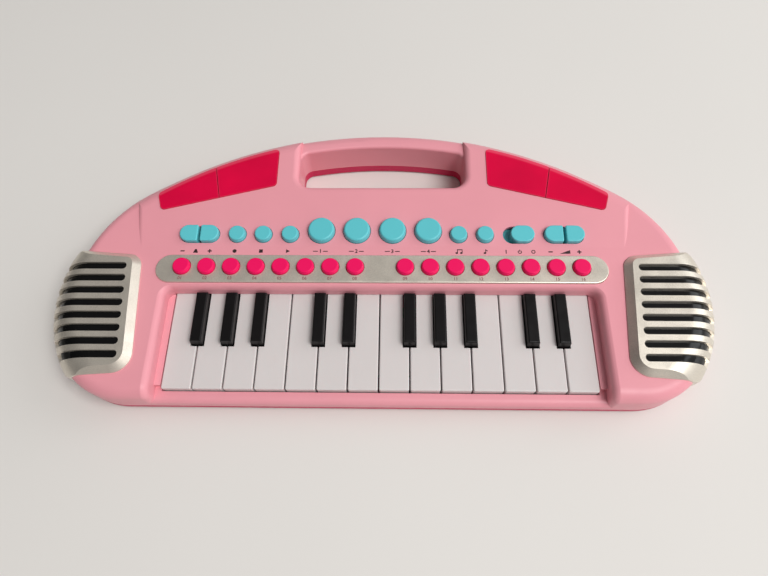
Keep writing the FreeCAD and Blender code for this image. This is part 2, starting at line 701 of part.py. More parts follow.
def key_well():
    """All that is open above and between the keys."""
    keys = box(-WELL_HALF, WELL_HALF, KEY_FRONT_Y - RAIL_GAP, WELL_REAR_Y, 0, LEDGE_HEIGHT)
    return [well_mouth(), front_brow(), rail_clearance(), keys]


def case_skin():
    """Top case as a solid, before it is hollowed."""
    return deck().fuse(raised_panel()).removeSplitter().cut(key_well())


def case_cavity():
    """Hollow inside of the top case, behind and beside the key well."""
    hollow = prism(case_outline(WALL), 0, DECK_HEIGHT - WALL)
    hollow = hollow.makeFillet(DECK_EDGE_RADIUS - WALL, flat_face(hollow, Z_AXIS).Edges)
    hollow = hollow.fuse(panel_block(WALL).common(crown(-WALL)))
    rear = WELL_REAR_Y + WALL
    for half, back, low, high in (
        (WELL_HALF + WALL, rear, 0, CHEEK_LOW),
        (WELL_HALF + CHEEK_WALL, rear, CHEEK_LOW, SKY),
        (WELL_HALF + CHEEK_WALL, LEDGE_FRONT_Y + WALL, RAIL_LIP_HEIGHT, CHEEK_LOW),
    ):
        hollow = hollow.cut(box(-half, half, FRONT_Y, back, low, high))
    return hollow.cut(handle_hole(WALL))


def key_passages():
    """Slot under the well's rear wall for the key arms, and the room behind the front rail's lip."""
    slot_rear = WELL_REAR_Y + WALL + OVERRUN
    slot = box(-WELL_HALF, WELL_HALF, WELL_REAR_Y - OVERRUN, slot_rear, 0, KEY_TOP + KEY_SLOT_GAP)
    inner = KEY_FRONT_Y - RAIL_GAP
    under_lip = box(-WELL_HALF, WELL_HALF, FRONT_Y + WALL, inner + OVERRUN, 0, RAIL_LIP_HEIGHT)
    behind_lip = box(-WELL_HALF, WELL_HALF, FRONT_Y + WALL, inner - RAIL_LIP, 0, RAIL_HEIGHT - WALL)
    return [slot, under_lip, behind_lip]


def mat_columns():
    """X of the eight buttons of the right-hand mat."""
    return [MAT_PITCH * (index + 1) for index in range(MAT_COUNT)]


def strip_openings(radius, z0, z1):
    """Round openings for all mat buttons."""
    columns = [x * side for x in mat_columns() for side in (1, -1)]
    return [upright(radius, x, MAT_Y, z0, z1) for x in columns]


def panel_openings():
    """Openings of the raised panel for its buttons and the power knob."""
    cutters = []
    for share in SMALL_BUTTON_SHARES.values():
        x = KEYBED_HALF * share
        cutters.append(upright(SMALL_BASE_RADIUS + BUTTON_GAP, x, SMALL_ROW, -PLUNGER_REACH, SKY))
    for share in DRUM_PAD_SHARES.values():
        x = KEYBED_HALF * share
        cutters.append(upright(DRUM_BASE_RADIUS + BUTTON_GAP, x, DRUM_ROW, -PLUNGER_REACH, SKY))
    for share in PAIR_SHARES.values():
        length, width = PAIR_LENGTH + 2 * BUTTON_GAP, PAIR_WIDTH + 2 * BUTTON_GAP
        outline = stadium(length, width, KEYBED_HALF * share, SMALL_ROW)
        cutters.append(prism(outline, -PLUNGER_REACH, SKY))
    slot = stadium(POWER_SLOT_LENGTH, POWER_SLOT_WIDTH, POWER_X, SMALL_ROW)
    cutters.append(prism(slot, -PLUNGER_REACH, SKY))
    return [on_panel(cutter) for cutter in cutters]


def lens_prism(grow):
    """Plan shape of the right-hand lens pair, following the back arc."""
    inner_x = LENS_INNER_X - grow
    outer_x = LENS_OUTER_X + grow
    drop_share = LENS_DROP / (LENS_OUTER_X - LENS_INNER_X)
    sag = grow * math.hypot(1, drop_share)
    inner_y = LENS_INNER_Y + grow * drop_share - sag
    outer_y = LENS_OUTER_Y - grow * drop_share - sag
    beyond = outer_x + (BACK_Y - outer_y) * LENS_LEAN_SHARE
    corners = ((inner_x, inner_y), (outer_x, outer_y), (beyond, BACK_Y), (inner_x, BACK_Y))
    blank = prism(polygon(corners), CHEEK_STEP_HEIGHT, SKY)
    blank = blank.common(back_disc(BACK_RADIUS - LENS_RIM + grow, 0, SKY))
    return blank.makeFillet(LENS_CORNER_RADIUS + grow, upright_edges(blank))


def lens_windows():
    """Stepped windows for both lens pairs."""
    pocket = lens_prism(FIT).cut(crown(-LENS_SEAT))
    opening = lens_prism(-LENS_LEDGE)
    return both_sides(pocket) + both_sides(opening)


def light_board_places(shares):
    """Plan points on the right-hand light board, from shares of its length and depth."""
    places = []
    for along, across in shares:
        x = LIGHT_BOARD_INNER_X + LIGHT_BOARD_LENGTH * along
        places.append((x, LIGHT_BOARD_Y + LIGHT_BOARD_DEPTH * across))
    return places


def case_posts():
    """Screw bosses and board posts that hang from the inside of the top case."""
    posts = []
    for x, y in BOSS_POINTS:
        posts += both_sides(upright(BOSS_RADIUS, x, y, PARTING_HEIGHT, SKY))
    board_top = MAIN_BOARD_HEIGHT + BOARD_THICK
    for share in POST_SHARES:
        posts += [upright(POST_RADIUS, MAIN_BOARD_HALF * share, y, board_top, SKY) for y in POST_ROWS]
    board_top = LIGHT_BOARD_HEIGHT + LIGHT_BOARD_THICK
    for x, y in light_board_places(LIGHT_POST_SHARES):
        posts += both_sides(upright(POST_RADIUS, x, y, board_top, SKY))
    return posts


def screw_pilots():
    """Blind holes for the case screws."""
    tip = FOOT_HEIGHT + SCREW_SINK + SCREW_LENGTH + FIT
    pilots = []
    for x, y in BOSS_POINTS:
        pilots += both_sides(upright(SCREW_RADIUS + RUNNING_FIT, x, y, 0, tip))
    return pilots


def top_case(skin):
    """Pink upper shell with key well, control panel, handle, windows, bosses and posts."""
    strip = stadium(STRIP_LENGTH + 2 * FIT, STRIP_WIDTH + 2 * FIT, 0, STRIP_Y)
    seat = prism(strip, DECK_HEIGHT - STRIP_SINK, SKY)
    speaker_hole = upright(SPEAKER_HOLE_RADIUS, SPEAKER_X, SPEAKER_Y, DECK_HEIGHT - WALL - OVERRUN, SKY)
    case = skin.cut([case_cavity()] + key_passages() + [seat])
    case = case.fuse([post.common(skin) for post in case_posts()])
    case = case.cut(strip_openings(MAT_HOLE_RADIUS, DECK_HEIGHT - WALL - OVERRUN, SKY))
    case = case.cut(panel_openings())
    case = case.cut(lens_windows() + both_sides(speaker_hole) + screw_pilots())
    return case.removeSplitter()


def bay_block(margin, z0, z1):
    """Block round the battery bay."""
    half_x = BAY_HALF_LENGTH + margin
    half_y = BAY_HALF_DEPTH + margin
    return box(-half_x, half_x, BAY_Y - half_y, BAY_Y + half_y, z0, z1)


def door_tab(margin, z0, z1):
    """Block round the door's screw tab."""
    half_x = DOOR_TAB_LENGTH / 2 + margin
    half_y = DOOR_TAB_WIDTH / 2 + margin
    return box(DOOR_SCREW_X - half_x, DOOR_SCREW_X + half_x, BAY_Y - half_y, BAY_Y + half_y, z0, z1)


def hinge_ribs():
    """X of the ribs that carry the hinge rod: both ends and the places between bare white keys."""
    ends = KEYBED_HALF + RIB_OUTSET
    return [-ends] + [WHITE_PITCH * place - KEYBED_HALF for place in BARE_BOUNDARIES] + [ends]


def tray_shell():
    """Floor and walls of the bottom case, with the tongue that enters the top case."""
    tray = prism(case_outline(0), FOOT_HEIGHT, PARTING_HEIGHT)
    tray = tray.makeFillet(BASE_EDGE_RADIUS, flat_face(tray, -Z_AXIS).Edges)
    hollow = prism(case_outline(WALL + FIT + TONGUE_WALL), FLOOR_TOP, SKY)
    tray = tray.cut(hollow.cut(handle_hole(WALL)))
    tongue_top = PARTING_HEIGHT + TONGUE_HEIGHT
    tongue = prism(case_outline(WALL + FIT), PARTING_HEIGHT - OVERRUN, tongue_top).cut(hollow)
    gap_half = WELL_HALF + WALL + OVERRUN
    keyway = box(-gap_half, gap_half, FRONT_Y, KEY_FRONT_Y, PARTING_HEIGHT, SKY)
    return tray.fuse(tongue.cut(keyway))


def tray_fittings():
    """Hinge ribs, board standoffs, screw sockets, battery bay and door boss of the bottom case."""
    fittings = []
    rib_top = HINGE_HEIGHT + BARREL_RADIUS
    rib_front, rib_rear = HINGE_Y - RIB_HALF_DEPTH, HINGE_Y + RIB_HALF_DEPTH
    for x in hinge_ribs():
        left, right = x - RIB_THICK / 2, x + RIB_THICK / 2
        fittings.append(box(left, right, rib_front, rib_rear, FOOT_HEIGHT + FIT, rib_top))
    board_front = KEY_FRONT_Y + KEY_BOARD_FROM_FRONT
    for share in STANDOFF_SHARES:
        x = KEYBED_HALF * share
        for y in (board_front + STANDOFF_INSET, board_front + KEY_BOARD_DEPTH - STANDOFF_INSET):
            fittings.append(upright(STANDOFF_RADIUS, x, y, FOOT_HEIGHT + FIT, KEY_BOARD_HEIGHT))
    for x, y in BOSS_POINTS:
        fittings += both_sides(upright(SOCKET_RADIUS, x, y, FOOT_HEIGHT, PARTING_HEIGHT))
    fittings.append(bay_block(BAY_WALL, FOOT_HEIGHT + DOOR_THICK, BAY_TOP + BAY_WALL))
    tab_top = FOOT_HEIGHT + DOOR_TAB_THICK
    fittings.append(door_tab(BAY_WALL, FOOT_HEIGHT, tab_top + BAY_WALL))
    fittings.append(upright(SOCKET_RADIUS, DOOR_SCREW_X, BAY_Y, tab_top, DOOR_BOSS_TOP))
    return fittings


def tray_openings():
    """Handle hole, rod bore, battery bay, door seat, screw holes and foot recesses."""
    rod_hole = ROD_RADIUS + RUNNING_FIT
    cutters = [handle_hole(0)]
    cutters.append(lengthwise(rod_hole, -BODY_HALF, BODY_HALF, HINGE_Y, HINGE_HEIGHT))
    cutters.append(bay_block(0, 0, BAY_TOP))
    cutters.append(bay_block(DOOR_LEDGE + FIT, 0, FOOT_HEIGHT + DOOR_THICK))
    cutters.append(door_tab(FIT, 0, FOOT_HEIGHT + DOOR_TAB_THICK))
    cutters.append(upright(SCREW_RADIUS + RUNNING_FIT, DOOR_SCREW_X, BAY_Y, 0, DOOR_BOSS_TOP - OVERRUN))
    for x, y in BOSS_POINTS:
        cutters += both_sides(upright(SCREW_HEAD_RADIUS + FIT, x, y, 0, FOOT_HEIGHT + SCREW_SINK))
        cutters += both_sides(upright(SCREW_RADIUS + FIT, x, y, 0, SKY))
    for x, y in PAD_POINTS:
        cutters += both_sides(upright(PAD_RADIUS + FIT, x, y, 0, FOOT_HEIGHT + PAD_SINK))
    return cutters


def bottom_case():
    """Magenta tray under the case."""
    return tray_shell().fuse(tray_fittings()).cut(tray_openings()).removeSplitter()


def battery_door():
    """Flat door of the battery bay with a screw tab."""
    door = bay_block(DOOR_LEDGE, FOOT_HEIGHT, FOOT_HEIGHT + DOOR_THICK)
    door = door.fuse(door_tab(0, FOOT_HEIGHT, FOOT_HEIGHT + DOOR_TAB_THICK))
    head = upright(SCREW_HEAD_RADIUS + FIT, DOOR_SCREW_X, BAY_Y, 0, FOOT_HEIGHT + SCREW_HEAD)
    shank = upright(SCREW_RADIUS + FIT, DOOR_SCREW_X, BAY_Y, 0, SKY)
    return door.cut([head, shank]).removeSplitter()


def screw(x, y, seat):
    """Self-tapping screw, head down, with a cross recess."""
    head = upright(SCREW_HEAD_RADIUS, x, y, seat - SCREW_HEAD, seat)
    shank = upright(SCREW_RADIUS, x, y, seat, seat + SCREW_LENGTH)
    top = seat - SCREW_HEAD + RECESS_DEPTH
    across = box(x - RECESS_HALF, x + RECESS_HALF, y - RECESS_SLOT / 2, y + RECESS_SLOT / 2, 0, top)
    along = box(x - RECESS_SLOT / 2, x + RECESS_SLOT / 2, y - RECESS_HALF, y + RECESS_HALF, 0, top)
    return head.fuse(shank).cut([across, along])


def case_screws():
    """The six case screws and the door's screw."""
    screws = [screw(DOOR_SCREW_X, BAY_Y, FOOT_HEIGHT + SCREW_HEAD)]
    for x, y in BOSS_POINTS:
        screws += [screw(x * side, y, FOOT_HEIGHT + SCREW_SINK) for side in (1, -1)]
    return screws


def rubber_feet():
    """Four round pads let into the bottom case."""
    feet = []
    for x, y in PAD_POINTS:
        feet += both_sides(upright(PAD_RADIUS, x, y, 0, FOOT_HEIGHT + PAD_SINK))
    return feet


def cell_rows():
    """Y of each cell, with the way that its positive end points."""
    middle = (CELL_COUNT - 1) / 2
    return [(BAY_Y + CELL_PITCH * (index - middle), (-1) ** index) for index in range(CELL_COUNT)]


def batteries():
    """Three AA cells lying along X, heads alternating."""
    cells = []
    for y, way in cell_rows():
        body = lengthwise(CELL_RADIUS, -CELL_LENGTH / 2, CELL_LENGTH / 2, y, CELL_Z)
        cell = body.fuse(lengthwise(CELL_NUB_RADIUS, 0, CELL_LENGTH / 2 + CELL_NUB, y, CELL_Z))
        cells.append(cell if way > 0 else mirrored(cell))
    return cells


def battery_contacts():
    """Plates at both ends of each cell: a stud at the head, a bent leaf at the base."""
    wall = BAY_HALF_LENGTH
    inner = wall - CONTACT_PLATE
    half = CONTACT_PLATE_WIDTH / 2
    contacts = []
    for y, way in cell_rows():
        low, high = CELL_Z - CONTACT_PLATE_HEIGHT / 2, CELL_Z + CONTACT_PLATE_HEIGHT / 2
        plate = box(inner, wall, y - half, y + half, low, high)
        stud = lengthwise(CONTACT_NUB_RADIUS, CELL_LENGTH / 2 + CELL_NUB, inner, y, CELL_Z)
        tip = CELL_LENGTH / 2
        corners = (
            (inner, y - LEAF_HALF), (tip, y), (inner, y + LEAF_HALF),
            (inner, y + LEAF_HALF - 2 * CONTACT_PLATE), (tip + CONTACT_PLATE, y),
            (inner, y - LEAF_HALF + 2 * CONTACT_PLATE),
        )
        leaf = prism(polygon(corners), CELL_Z - LEAF_HEIGHT / 2, CELL_Z + LEAF_HEIGHT / 2)
        head = plate.fuse(stud).removeSplitter()
        base = plate.fuse(leaf).removeSplitter()
        contacts += [head, mirrored(base)] if way > 0 else [mirrored(head), base]
    return contacts


def hinge_arm(x, key):
    """Add the arm and the hinge barrel to a key and bore it for the rod."""
    low, high = x - ARM_WIDTH / 2, x + ARM_WIDTH / 2
    arm = box(low, high, WELL_REAR_Y - ARM_LEAD, HINGE_Y, ARM_LOW, ARM_HIGH)
    barrel = lengthwise(BARREL_RADIUS, low, high, HINGE_Y, HINGE_HEIGHT)
    bore = lengthwise(ROD_RADIUS + RUNNING_FIT, low - OVERRUN, high + OVERRUN, HINGE_Y, HINGE_HEIGHT)
    return key.fuse([arm, barrel]).cut(bore).removeSplitter()


def white_key_sides(index):
    """Left and right sides of a white key's head, then of its stem between the black keys."""
    left = WHITE_PITCH * index - KEYBED_HALF + KEY_GAP / 2
    right = left + WHITE_PITCH - KEY_GAP
    notch = BLACK_WIDTH / 2 + BLACK_SIDE_GAP - KEY_GAP / 2
    stem_left = left + notch if index in BLACK_BOUNDARIES else left
    stem_right = right - notch if index + 1 in BLACK_BOUNDARIES else right
    return left, right, stem_left, stem_right


def white_key_blank(left, right, stem_left, stem_right):
    """Outside of a white key, rounded at its front corners and its outer top edges."""
    rear = WELL_REAR_Y + STEM_BEHIND_WELL
    head = box(left, right, KEY_FRONT_Y, NOTCH_Y, WHITE_SKIRT, KEY_TOP)
    stem = box(stem_left, stem_right, NOTCH_Y - OVERRUN, rear, WHITE_SKIRT, KEY_TOP)
    lip = box(left, right, KEY_FRONT_Y, KEY_FRONT_Y + KEY_SIDE, WHITE_FRONT_SKIRT, KEY_TOP)
    key = head.fuse([stem, lip]).removeSplitter()
    edges = [edge for edge in upright_edges(key) if edge.CenterOfMass.y < KEY_FRONT_Y + SAME_PLACE]
    key = key.makeFillet(KEY_CORNER_RADIUS, edges)
    edges = []
    for edge in flat_face(key, Z_AXIS).Edges:
        place = edge.CenterOfMass
        beside = min(abs(place.x - left), abs(place.x - right)) < SAME_PLACE
        if beside or place.y < KEY_FRONT_Y + KEY_CORNER_RADIUS:
            edges.append(edge)
    return key.makeFillet(KEY_EDGE_RADIUS, edges)


def actuator(x, from_front, low, ceiling):
    """Post that hangs from a key's skin above its contact dome."""
    y = KEY_FRONT_Y + from_front
    half_x = ACTUATOR_WIDTH / 2
    half_y = ACTUATOR_DEPTH / 2
    return box(x - half_x, x + half_x, y - half_y, y + half_y, low, ceiling + KEY_SKIN / 2)


def white_key(index):
    """White key: hollow head and stem, stop tab under the rail, actuator, arm and barrel."""
    left, right, stem_left, stem_right = white_key_sides(index)
    middle = (left + right) / 2
    ceiling = KEY_TOP - KEY_SKIN
    front = KEY_FRONT_Y + KEY_SIDE
    room = box(left + KEY_SIDE, right - KEY_SIDE, front, NOTCH_Y - KEY_SIDE, 0, ceiling)
    narrow = box(stem_left + KEY_SIDE, stem_right - KEY_SIDE, front, WELL_REAR_Y - ARM_LEAD, 0, ceiling)
    key = white_key_blank(left, right, stem_left, stem_right).cut([room, narrow])
    tab_top = RAIL_LIP_HEIGHT - TAB_GAP
    tab_y = KEY_FRONT_Y - RAIL_GAP - TAB_DEPTH
    tab = box(middle - TAB_WIDTH / 2, middle + TAB_WIDTH / 2, tab_y, front, tab_top - TAB_THICK, tab_top)
    key = key.fuse([tab, actuator(middle, WHITE_ACTUATOR_FROM_FRONT, WHITE_SKIRT, ceiling)])
    return hinge_arm((stem_left + stem_right) / 2, key)


def black_key(place):
    """Black key: tapered head with a sloping front, arm and barrel."""
    x = WHITE_PITCH * place - KEYBED_HALF
    half = BLACK_WIDTH / 2
    top_half = BLACK_TOP_WIDTH / 2
    front = KEY_FRONT_Y + BLACK_FROM_FRONT
    rear = WELL_REAR_Y - BLACK_REAR_GAP
    rings = []
    for reach, start, height in ((half, front, KEY_TOP), (top_half, front + BLACK_SLOPE, BLACK_TOP)):
        corners = ((x - reach, start), (x + reach, start), (x + reach, rear), (x - reach, rear))
        rings.append(polygon(corners).translated(Vector(0, 0, height)))
    head = Part.makeLoft(rings, True, True)
    key = head.fuse(box(x - half, x + half, front, rear, WHITE_SKIRT, KEY_TOP)).removeSplitter()
    key = key.makeFillet(BLACK_EDGE_RADIUS, flat_face(key, Z_AXIS).Edges)
    hollow_front = front + KEY_SIDE + BLACK_SLOPE / 2
    side = half - KEY_SIDE
    key = key.cut(box(x - side, x + side, hollow_front, rear - ARM_LEAD, 0, BLACK_HOLLOW_TOP))
    key = key.fuse(actuator(x, BLACK_ACTUATOR_FROM_FRONT, BLACK_ACTUATOR_LOW, BLACK_HOLLOW_TOP))
    return hinge_arm(x, key)


def key_hinge_rod():
    """Steel rod through all key barrels."""
    half = KEYBED_HALF + ROD_OVERHANG
    return lengthwise(ROD_RADIUS, -half, half, HINGE_Y, HINGE_HEIGHT)


def key_board():
    """Board under the keys, on the bottom case's standoffs."""
    half = KEYBED_HALF - KEY_BOARD_MARGIN
    front = KEY_FRONT_Y + KEY_BOARD_FROM_FRONT
    top = KEY_BOARD_HEIGHT + BOARD_THICK
    return box(-half, half, front, front + KEY_BOARD_DEPTH, KEY_BOARD_HEIGHT, top)


def key_contact_strip():
    """Rubber sheet with one contact dome under each key."""
    half = KEYBED_HALF - KEY_BOARD_MARGIN - CONTACT_MARGIN
    front = KEY_FRONT_Y + KEY_BOARD_FROM_FRONT + CONTACT_MARGIN
    low = KEY_BOARD_HEIGHT + BOARD_THICK
    top = low + CONTACT_SHEET
    middles = [WHITE_PITCH * index + WHITE_PITCH / 2 for index in range(WHITE_COUNT)]
    places = [(x, WHITE_ACTUATOR_FROM_FRONT) for x in middles]
    places += [(WHITE_PITCH * place, BLACK_ACTUATOR_FROM_FRONT) for place in BLACK_BOUNDARIES]
    domes = []
    for x, from_front in places:
        y = KEY_FRONT_Y + from_front
        domes.append(upright(CONTACT_DOME_RADIUS, x - KEYBED_HALF, y, low, top + CONTACT_DOME))
    sheet = box(-half, half, front, front + CONTACT_DEPTH, low, top)
    return sheet.fuse(domes).removeSplitter()


def control_strip():
    """Silver plate with a round opening for each mat button."""
    low = DECK_HEIGHT - STRIP_SINK
    plate = prism(stadium(STRIP_LENGTH, STRIP_WIDTH, 0, STRIP_Y), low, STRIP_TOP)
    plate = plate.makeFillet(STRIP_EDGE_RADIUS, flat_face(plate, Z_AXIS).Edges)
    return plate.cut(strip_openings(MAT_HOLE_RADIUS, 0, SKY))


def cap(base_radius, top_radius, low, collar, top, edge_radius):
    """Round button cap: straight below the collar, tapered above, rounded at the top."""
    foot = upright(base_radius, 0, 0, low, collar)
    head = Part.makeCone(base_radius, top_radius, top - collar, Vector(0, 0, collar))
    solid = foot.fuse(head).removeSplitter()
    return solid.makeFillet(edge_radius, flat_face(solid, Z_AXIS).Edges)


def button_mat():
    """Right-hand rubber mat with eight buttons that stand through the strip."""
    sheet_top = DECK_HEIGHT - WALL - FIT
    sheet_low = sheet_top - MAT_SHEET
    columns = mat_columns()
    left, right = columns[0] - MAT_MARGIN, columns[-1] + MAT_MARGIN
    mat = box(left, right, MAT_Y - MAT_MARGIN, MAT_Y + MAT_MARGIN, sheet_low, sheet_top)
    top = STRIP_TOP + MAT_RISE
    button = cap(MAT_BASE_RADIUS, MAT_TOP_RADIUS, sheet_low, STRIP_TOP + COLLAR_RISE, top, SMALL_EDGE_RADIUS)
    button = button.fuse(upright(MAT_NUB_RADIUS, 0, 0, sheet_low - MAT_NUB, sheet_top))
    return mat.fuse([button.translated(Vector(x, MAT_Y, 0)) for x in columns]).removeSplitter()


def flange_levels():
    """Bottom and top of the flange that holds a button under the panel."""
    top = -WALL - FIT
    return top - FLANGE_THICK, top


def small_button(x):
    """Small round panel button."""
    return round_button(SMALL_BASE_RADIUS, SMALL_TOP_RADIUS, SMALL_RISE, SMALL_EDGE_RADIUS, x, SMALL_ROW)


def drum_pad(x):
    """Large round panel button."""
    return round_button(DRUM_BASE_RADIUS, DRUM_TOP_RADIUS, DRUM_RISE, DRUM_EDGE_RADIUS, x, DRUM_ROW)


def round_button(base_radius, top_radius, rise, edge_radius, x, row):
    """Round panel button with a holding flange and a plunger."""
    low, high = flange_levels()
    button = cap(base_radius, top_radius, low, COLLAR_RISE, rise, edge_radius)
    button = button.fuse([
        upright(base_radius + FLANGE_MARGIN, 0, 0, low, high),
        upright(PLUNGER_RADIUS, 0, 0, -PLUNGER_REACH, high),
    ])
    return on_panel(button.removeSplitter().translated(Vector(x, row, 0)))


def pair_button(x, side):
    """One half of a pill-shaped pair of buttons."""
    low, high = flange_levels()
    half = box(PAIR_SPLIT / 2, PAIR_LENGTH, -PAIR_LENGTH, PAIR_LENGTH, -SKY, SKY)
    head = prism(stadium(PAIR_LENGTH, PAIR_WIDTH, 0, 0), low, SMALL_RISE).common(half)
    edges = [edge for edge in upright_edges(head) if edge.CenterOfMass.x < PAIR_SPLIT / 2 + SAME_PLACE]
    head = head.makeFillet(PAIR_CORNER_RADIUS, edges)
    head = head.makeFillet(PAIR_EDGE_RADIUS, flat_face(head, Z_AXIS).Edges)
    wide = 2 * FLANGE_MARGIN
    flange = prism(stadium(PAIR_LENGTH + wide, PAIR_WIDTH + wide, 0, 0), low, high).common(half)
    plunger = upright(PLUNGER_RADIUS, PAIR_LENGTH / 4, 0, -PLUNGER_REACH, high)
    button = head.fuse([flange, plunger]).removeSplitter()
    button = button if side > 0 else mirrored(button)
    return on_panel(button.translated(Vector(x, SMALL_ROW, 0)))


def power_knob():
    """Sliding knob with a plate that fills the slot from below, shown switched off."""
    head = prism(stadium(KNOB_LENGTH, KNOB_WIDTH, 0, 0), -KNOB_PLATE_DROP, KNOB_RISE)
    head = head.makeFillet(SMALL_EDGE_RADIUS, flat_face(head, Z_AXIS).Edges)
    half_x = KNOB_PLATE_LENGTH / 2
    half_y = KNOB_PLATE_WIDTH / 2
    plate = box(-half_x, half_x, -half_y, half_y, -KNOB_PLATE_DROP - FLANGE_THICK, -KNOB_PLATE_DROP)
    return on_panel(head.fuse(plate).removeSplitter().translated(Vector(KNOB_X, SMALL_ROW, 0)))


def main_board():
    """Board under the buttons, against the top case's posts."""
    top = MAIN_BOARD_HEIGHT + BOARD_THICK
    half = MAIN_BOARD_HALF
    return box(-half, half, MAIN_BOARD_Y, MAIN_BOARD_REAR, MAIN_BOARD_HEIGHT, top)


def light_lens():
    """Right-hand pair of lenses, which follow the panel and its rounded back, with a seam between them."""
    lens = lens_prism(0).common(crown(LENS_PROUD)).cut(crown(-LENS_SEAT))
    seam_x = LENS_INNER_X + (LENS_OUTER_X - LENS_INNER_X) * LENS_SEAM_SHARE
    low_x = seam_x - BACK_Y * LENS_SEAM_LEAN_SHARE
    high_x = seam_x + BACK_Y * LENS_SEAM_LEAN_SHARE
    middle_y = (LENS_INNER_Y + LENS_OUTER_Y) / 2
    corners = (
        (low_x, middle_y - BACK_Y), (low_x + LENS_SEAM, middle_y - BACK_Y),
        (high_x + LENS_SEAM, middle_y + BACK_Y), (high_x, middle_y + BACK_Y),
    )
    return lens.cut(prism(polygon(corners), 0, SKY))


def light_board():
    """Right-hand light board, against the top case's light posts."""
    low = LIGHT_BOARD_Y
    left, right = LIGHT_BOARD_INNER_X, LIGHT_BOARD_INNER_X + LIGHT_BOARD_LENGTH
    top = LIGHT_BOARD_HEIGHT + LIGHT_BOARD_THICK
    return box(left, right, low, low + LIGHT_BOARD_DEPTH, LIGHT_BOARD_HEIGHT, top)


def diode(x, y):
    """Round light diode with a domed tip, standing on a light board."""
    base = LIGHT_BOARD_HEIGHT + LIGHT_BOARD_THICK
    body = upright(DIODE_RADIUS, x, y, base, base + DIODE_HEIGHT - DIODE_RADIUS)
    tip = Part.makeSphere(DIODE_RADIUS, Vector(x, y, base + DIODE_HEIGHT - DIODE_RADIUS))
    return body.fuse([tip, upright(DIODE_BASE_RADIUS, x, y, base, base + DIODE_BASE)]).removeSplitter()


def light_diodes():
    """One diode under each lens."""
    return [lamp for place in light_board_places(DIODE_SHARES) for lamp in both_sides(diode(*place))]


def pod_outline():
    """Plan outline of the right-hand grille: a slanted inner edge and sides that fan out."""
    front_x = POD_INNER_X - (POD_BACK_Y - POD_FRONT_Y) * POD_LEAN_SHARE
    fan = POD_REACH * POD_FAN_SHARE
    points = (
        (front_x, POD_FRONT_Y), (POD_INNER_X + POD_REACH, POD_FRONT_Y - fan),
        (POD_INNER_X + POD_REACH, POD_BACK_Y + fan), (POD_INNER_X, POD_BACK_Y),
    )
    return rounded_polygon(points, (POD_FRONT_CORNER, POD_FRONT_CORNER, POD_FRONT_CORNER, POD_BACK_CORNER))


def pod_plan(inset):
    """Upright body of the right-hand grille, rounded where its sides meet its outer arc."""
    outline = pod_outline().makeOffset2D(-inset) if inset else pod_outline()
    radius = POD_RADIUS - inset
    plan = prism(outline, 0, SKY).common(upright(radius, POD_CENTRE_X, POD_CENTRE_Y, 0, SKY))
    edges = []
    for edge in upright_edges(plan):
        x, y = edge.CenterOfMass.x - POD_CENTRE_X, edge.CenterOfMass.y - POD_CENTRE_Y
        if abs(math.hypot(x, y) - radius) < SAME_PLACE and abs(y) > OVERRUN:
            edges.append(edge)
    return plan.makeFillet(POD_OUTER_CORNER - inset, edges)


def pod(inset):
    """Right-hand grille as a solid: bevelled at its inner sides, domed over along its outer arc."""
    low = pod_outline().makeOffset2D(-inset) if inset else pod_outline()
    high = pod_outline().makeOffset2D(-inset - POD_BEVEL)
    bottom = POD_BOTTOM + inset
    kerb = DECK_HEIGHT + POD_KERB
    top = POD_TOP - inset
    rings = [low.translated(Vector(0, 0, kerb)), high.translated(Vector(0, 0, top))]
    block = prism(low, bottom, kerb).fuse(Part.makeLoft(rings, True, True))
    disc = upright(POD_RADIUS - inset, POD_CENTRE_X, POD_CENTRE_Y, 0, top)
    disc = disc.makeFillet(POD_DOME_RADIUS - inset, flat_face(disc, Z_AXIS).Edges)
    return block.common(disc).common(pod_plan(inset))


def slot_outline(forward, width, start, end):
    """Plan outline of one sound slot or slit, so far forward of the rearmost slot."""
    y = SLOT_FIRST_Y - forward
    left = SLOT_INNER_X - forward * POD_LEAN_SHARE
    points = (
        (left + start, y - width / 2), (left + end, y - width / 2),
        (left + end, y + width / 2), (left + start, y + width / 2),
    )
    radius = SLOT_END_RADIUS * width / SLOT_WIDTH
    return rounded_polygon(points, (radius,) * len(points))


def speaker_grille(skin):
    """Right-hand silver grille: a shell over the case's end with eight slots over its outer side."""
    shell = pod(0).cut(pod(POD_SKIN))
    slots = []
    for index in range(SLOT_COUNT):
        outline = slot_outline(SLOT_PITCH * index, SLOT_WIDTH, 0, POD_REACH)
        slots.append(prism(outline, DECK_HEIGHT - SLOT_BELOW_DECK, SKY))
    return shell.cut(slots).cut(skin)


def grille_liner(skin):
    """Right-hand black liner behind the grille, with sound slits under the bars."""
    outer = POD_SKIN + FIT
    liner = pod(outer).cut(pod(outer + LINER_SKIN))
    slits = []
    for index in range(SLOT_COUNT - 1):
        forward = SLOT_PITCH * index + SLOT_PITCH / 2
        outline = slot_outline(forward, SLIT_WIDTH, SLIT_INSET, SLIT_INSET + SLIT_LENGTH)
        slits.append(prism(outline, DECK_HEIGHT, SKY))
    return liner.cut(slits).cut(skin)


def speaker():
    """Right-hand speaker: flange, basket, cone and magnet."""
    top = SPEAKER_TOP
    neck = top - NECK_DROP
    cone_low = top - CONE_DEPTH
    flange_low = top - SPEAKER_FLANGE
    magnet_low = top - MAGNET_DROP
    points = (
        (0, cone_low + DUST_CAP_RISE), (DUST_CAP_RADIUS, cone_low), (CONE_RADIUS, top - CONE_RIM),
        (CONE_RADIUS, top), (SPEAKER_RADIUS, top), (SPEAKER_RADIUS, flange_low), (BASKET_RADIUS, flange_low),
        (NECK_RADIUS, neck), (MAGNET_RADIUS, neck), (MAGNET_RADIUS, magnet_low), (0, magnet_low),
    )
    return turned(points, SPEAKER_X, SPEAKER_Y)


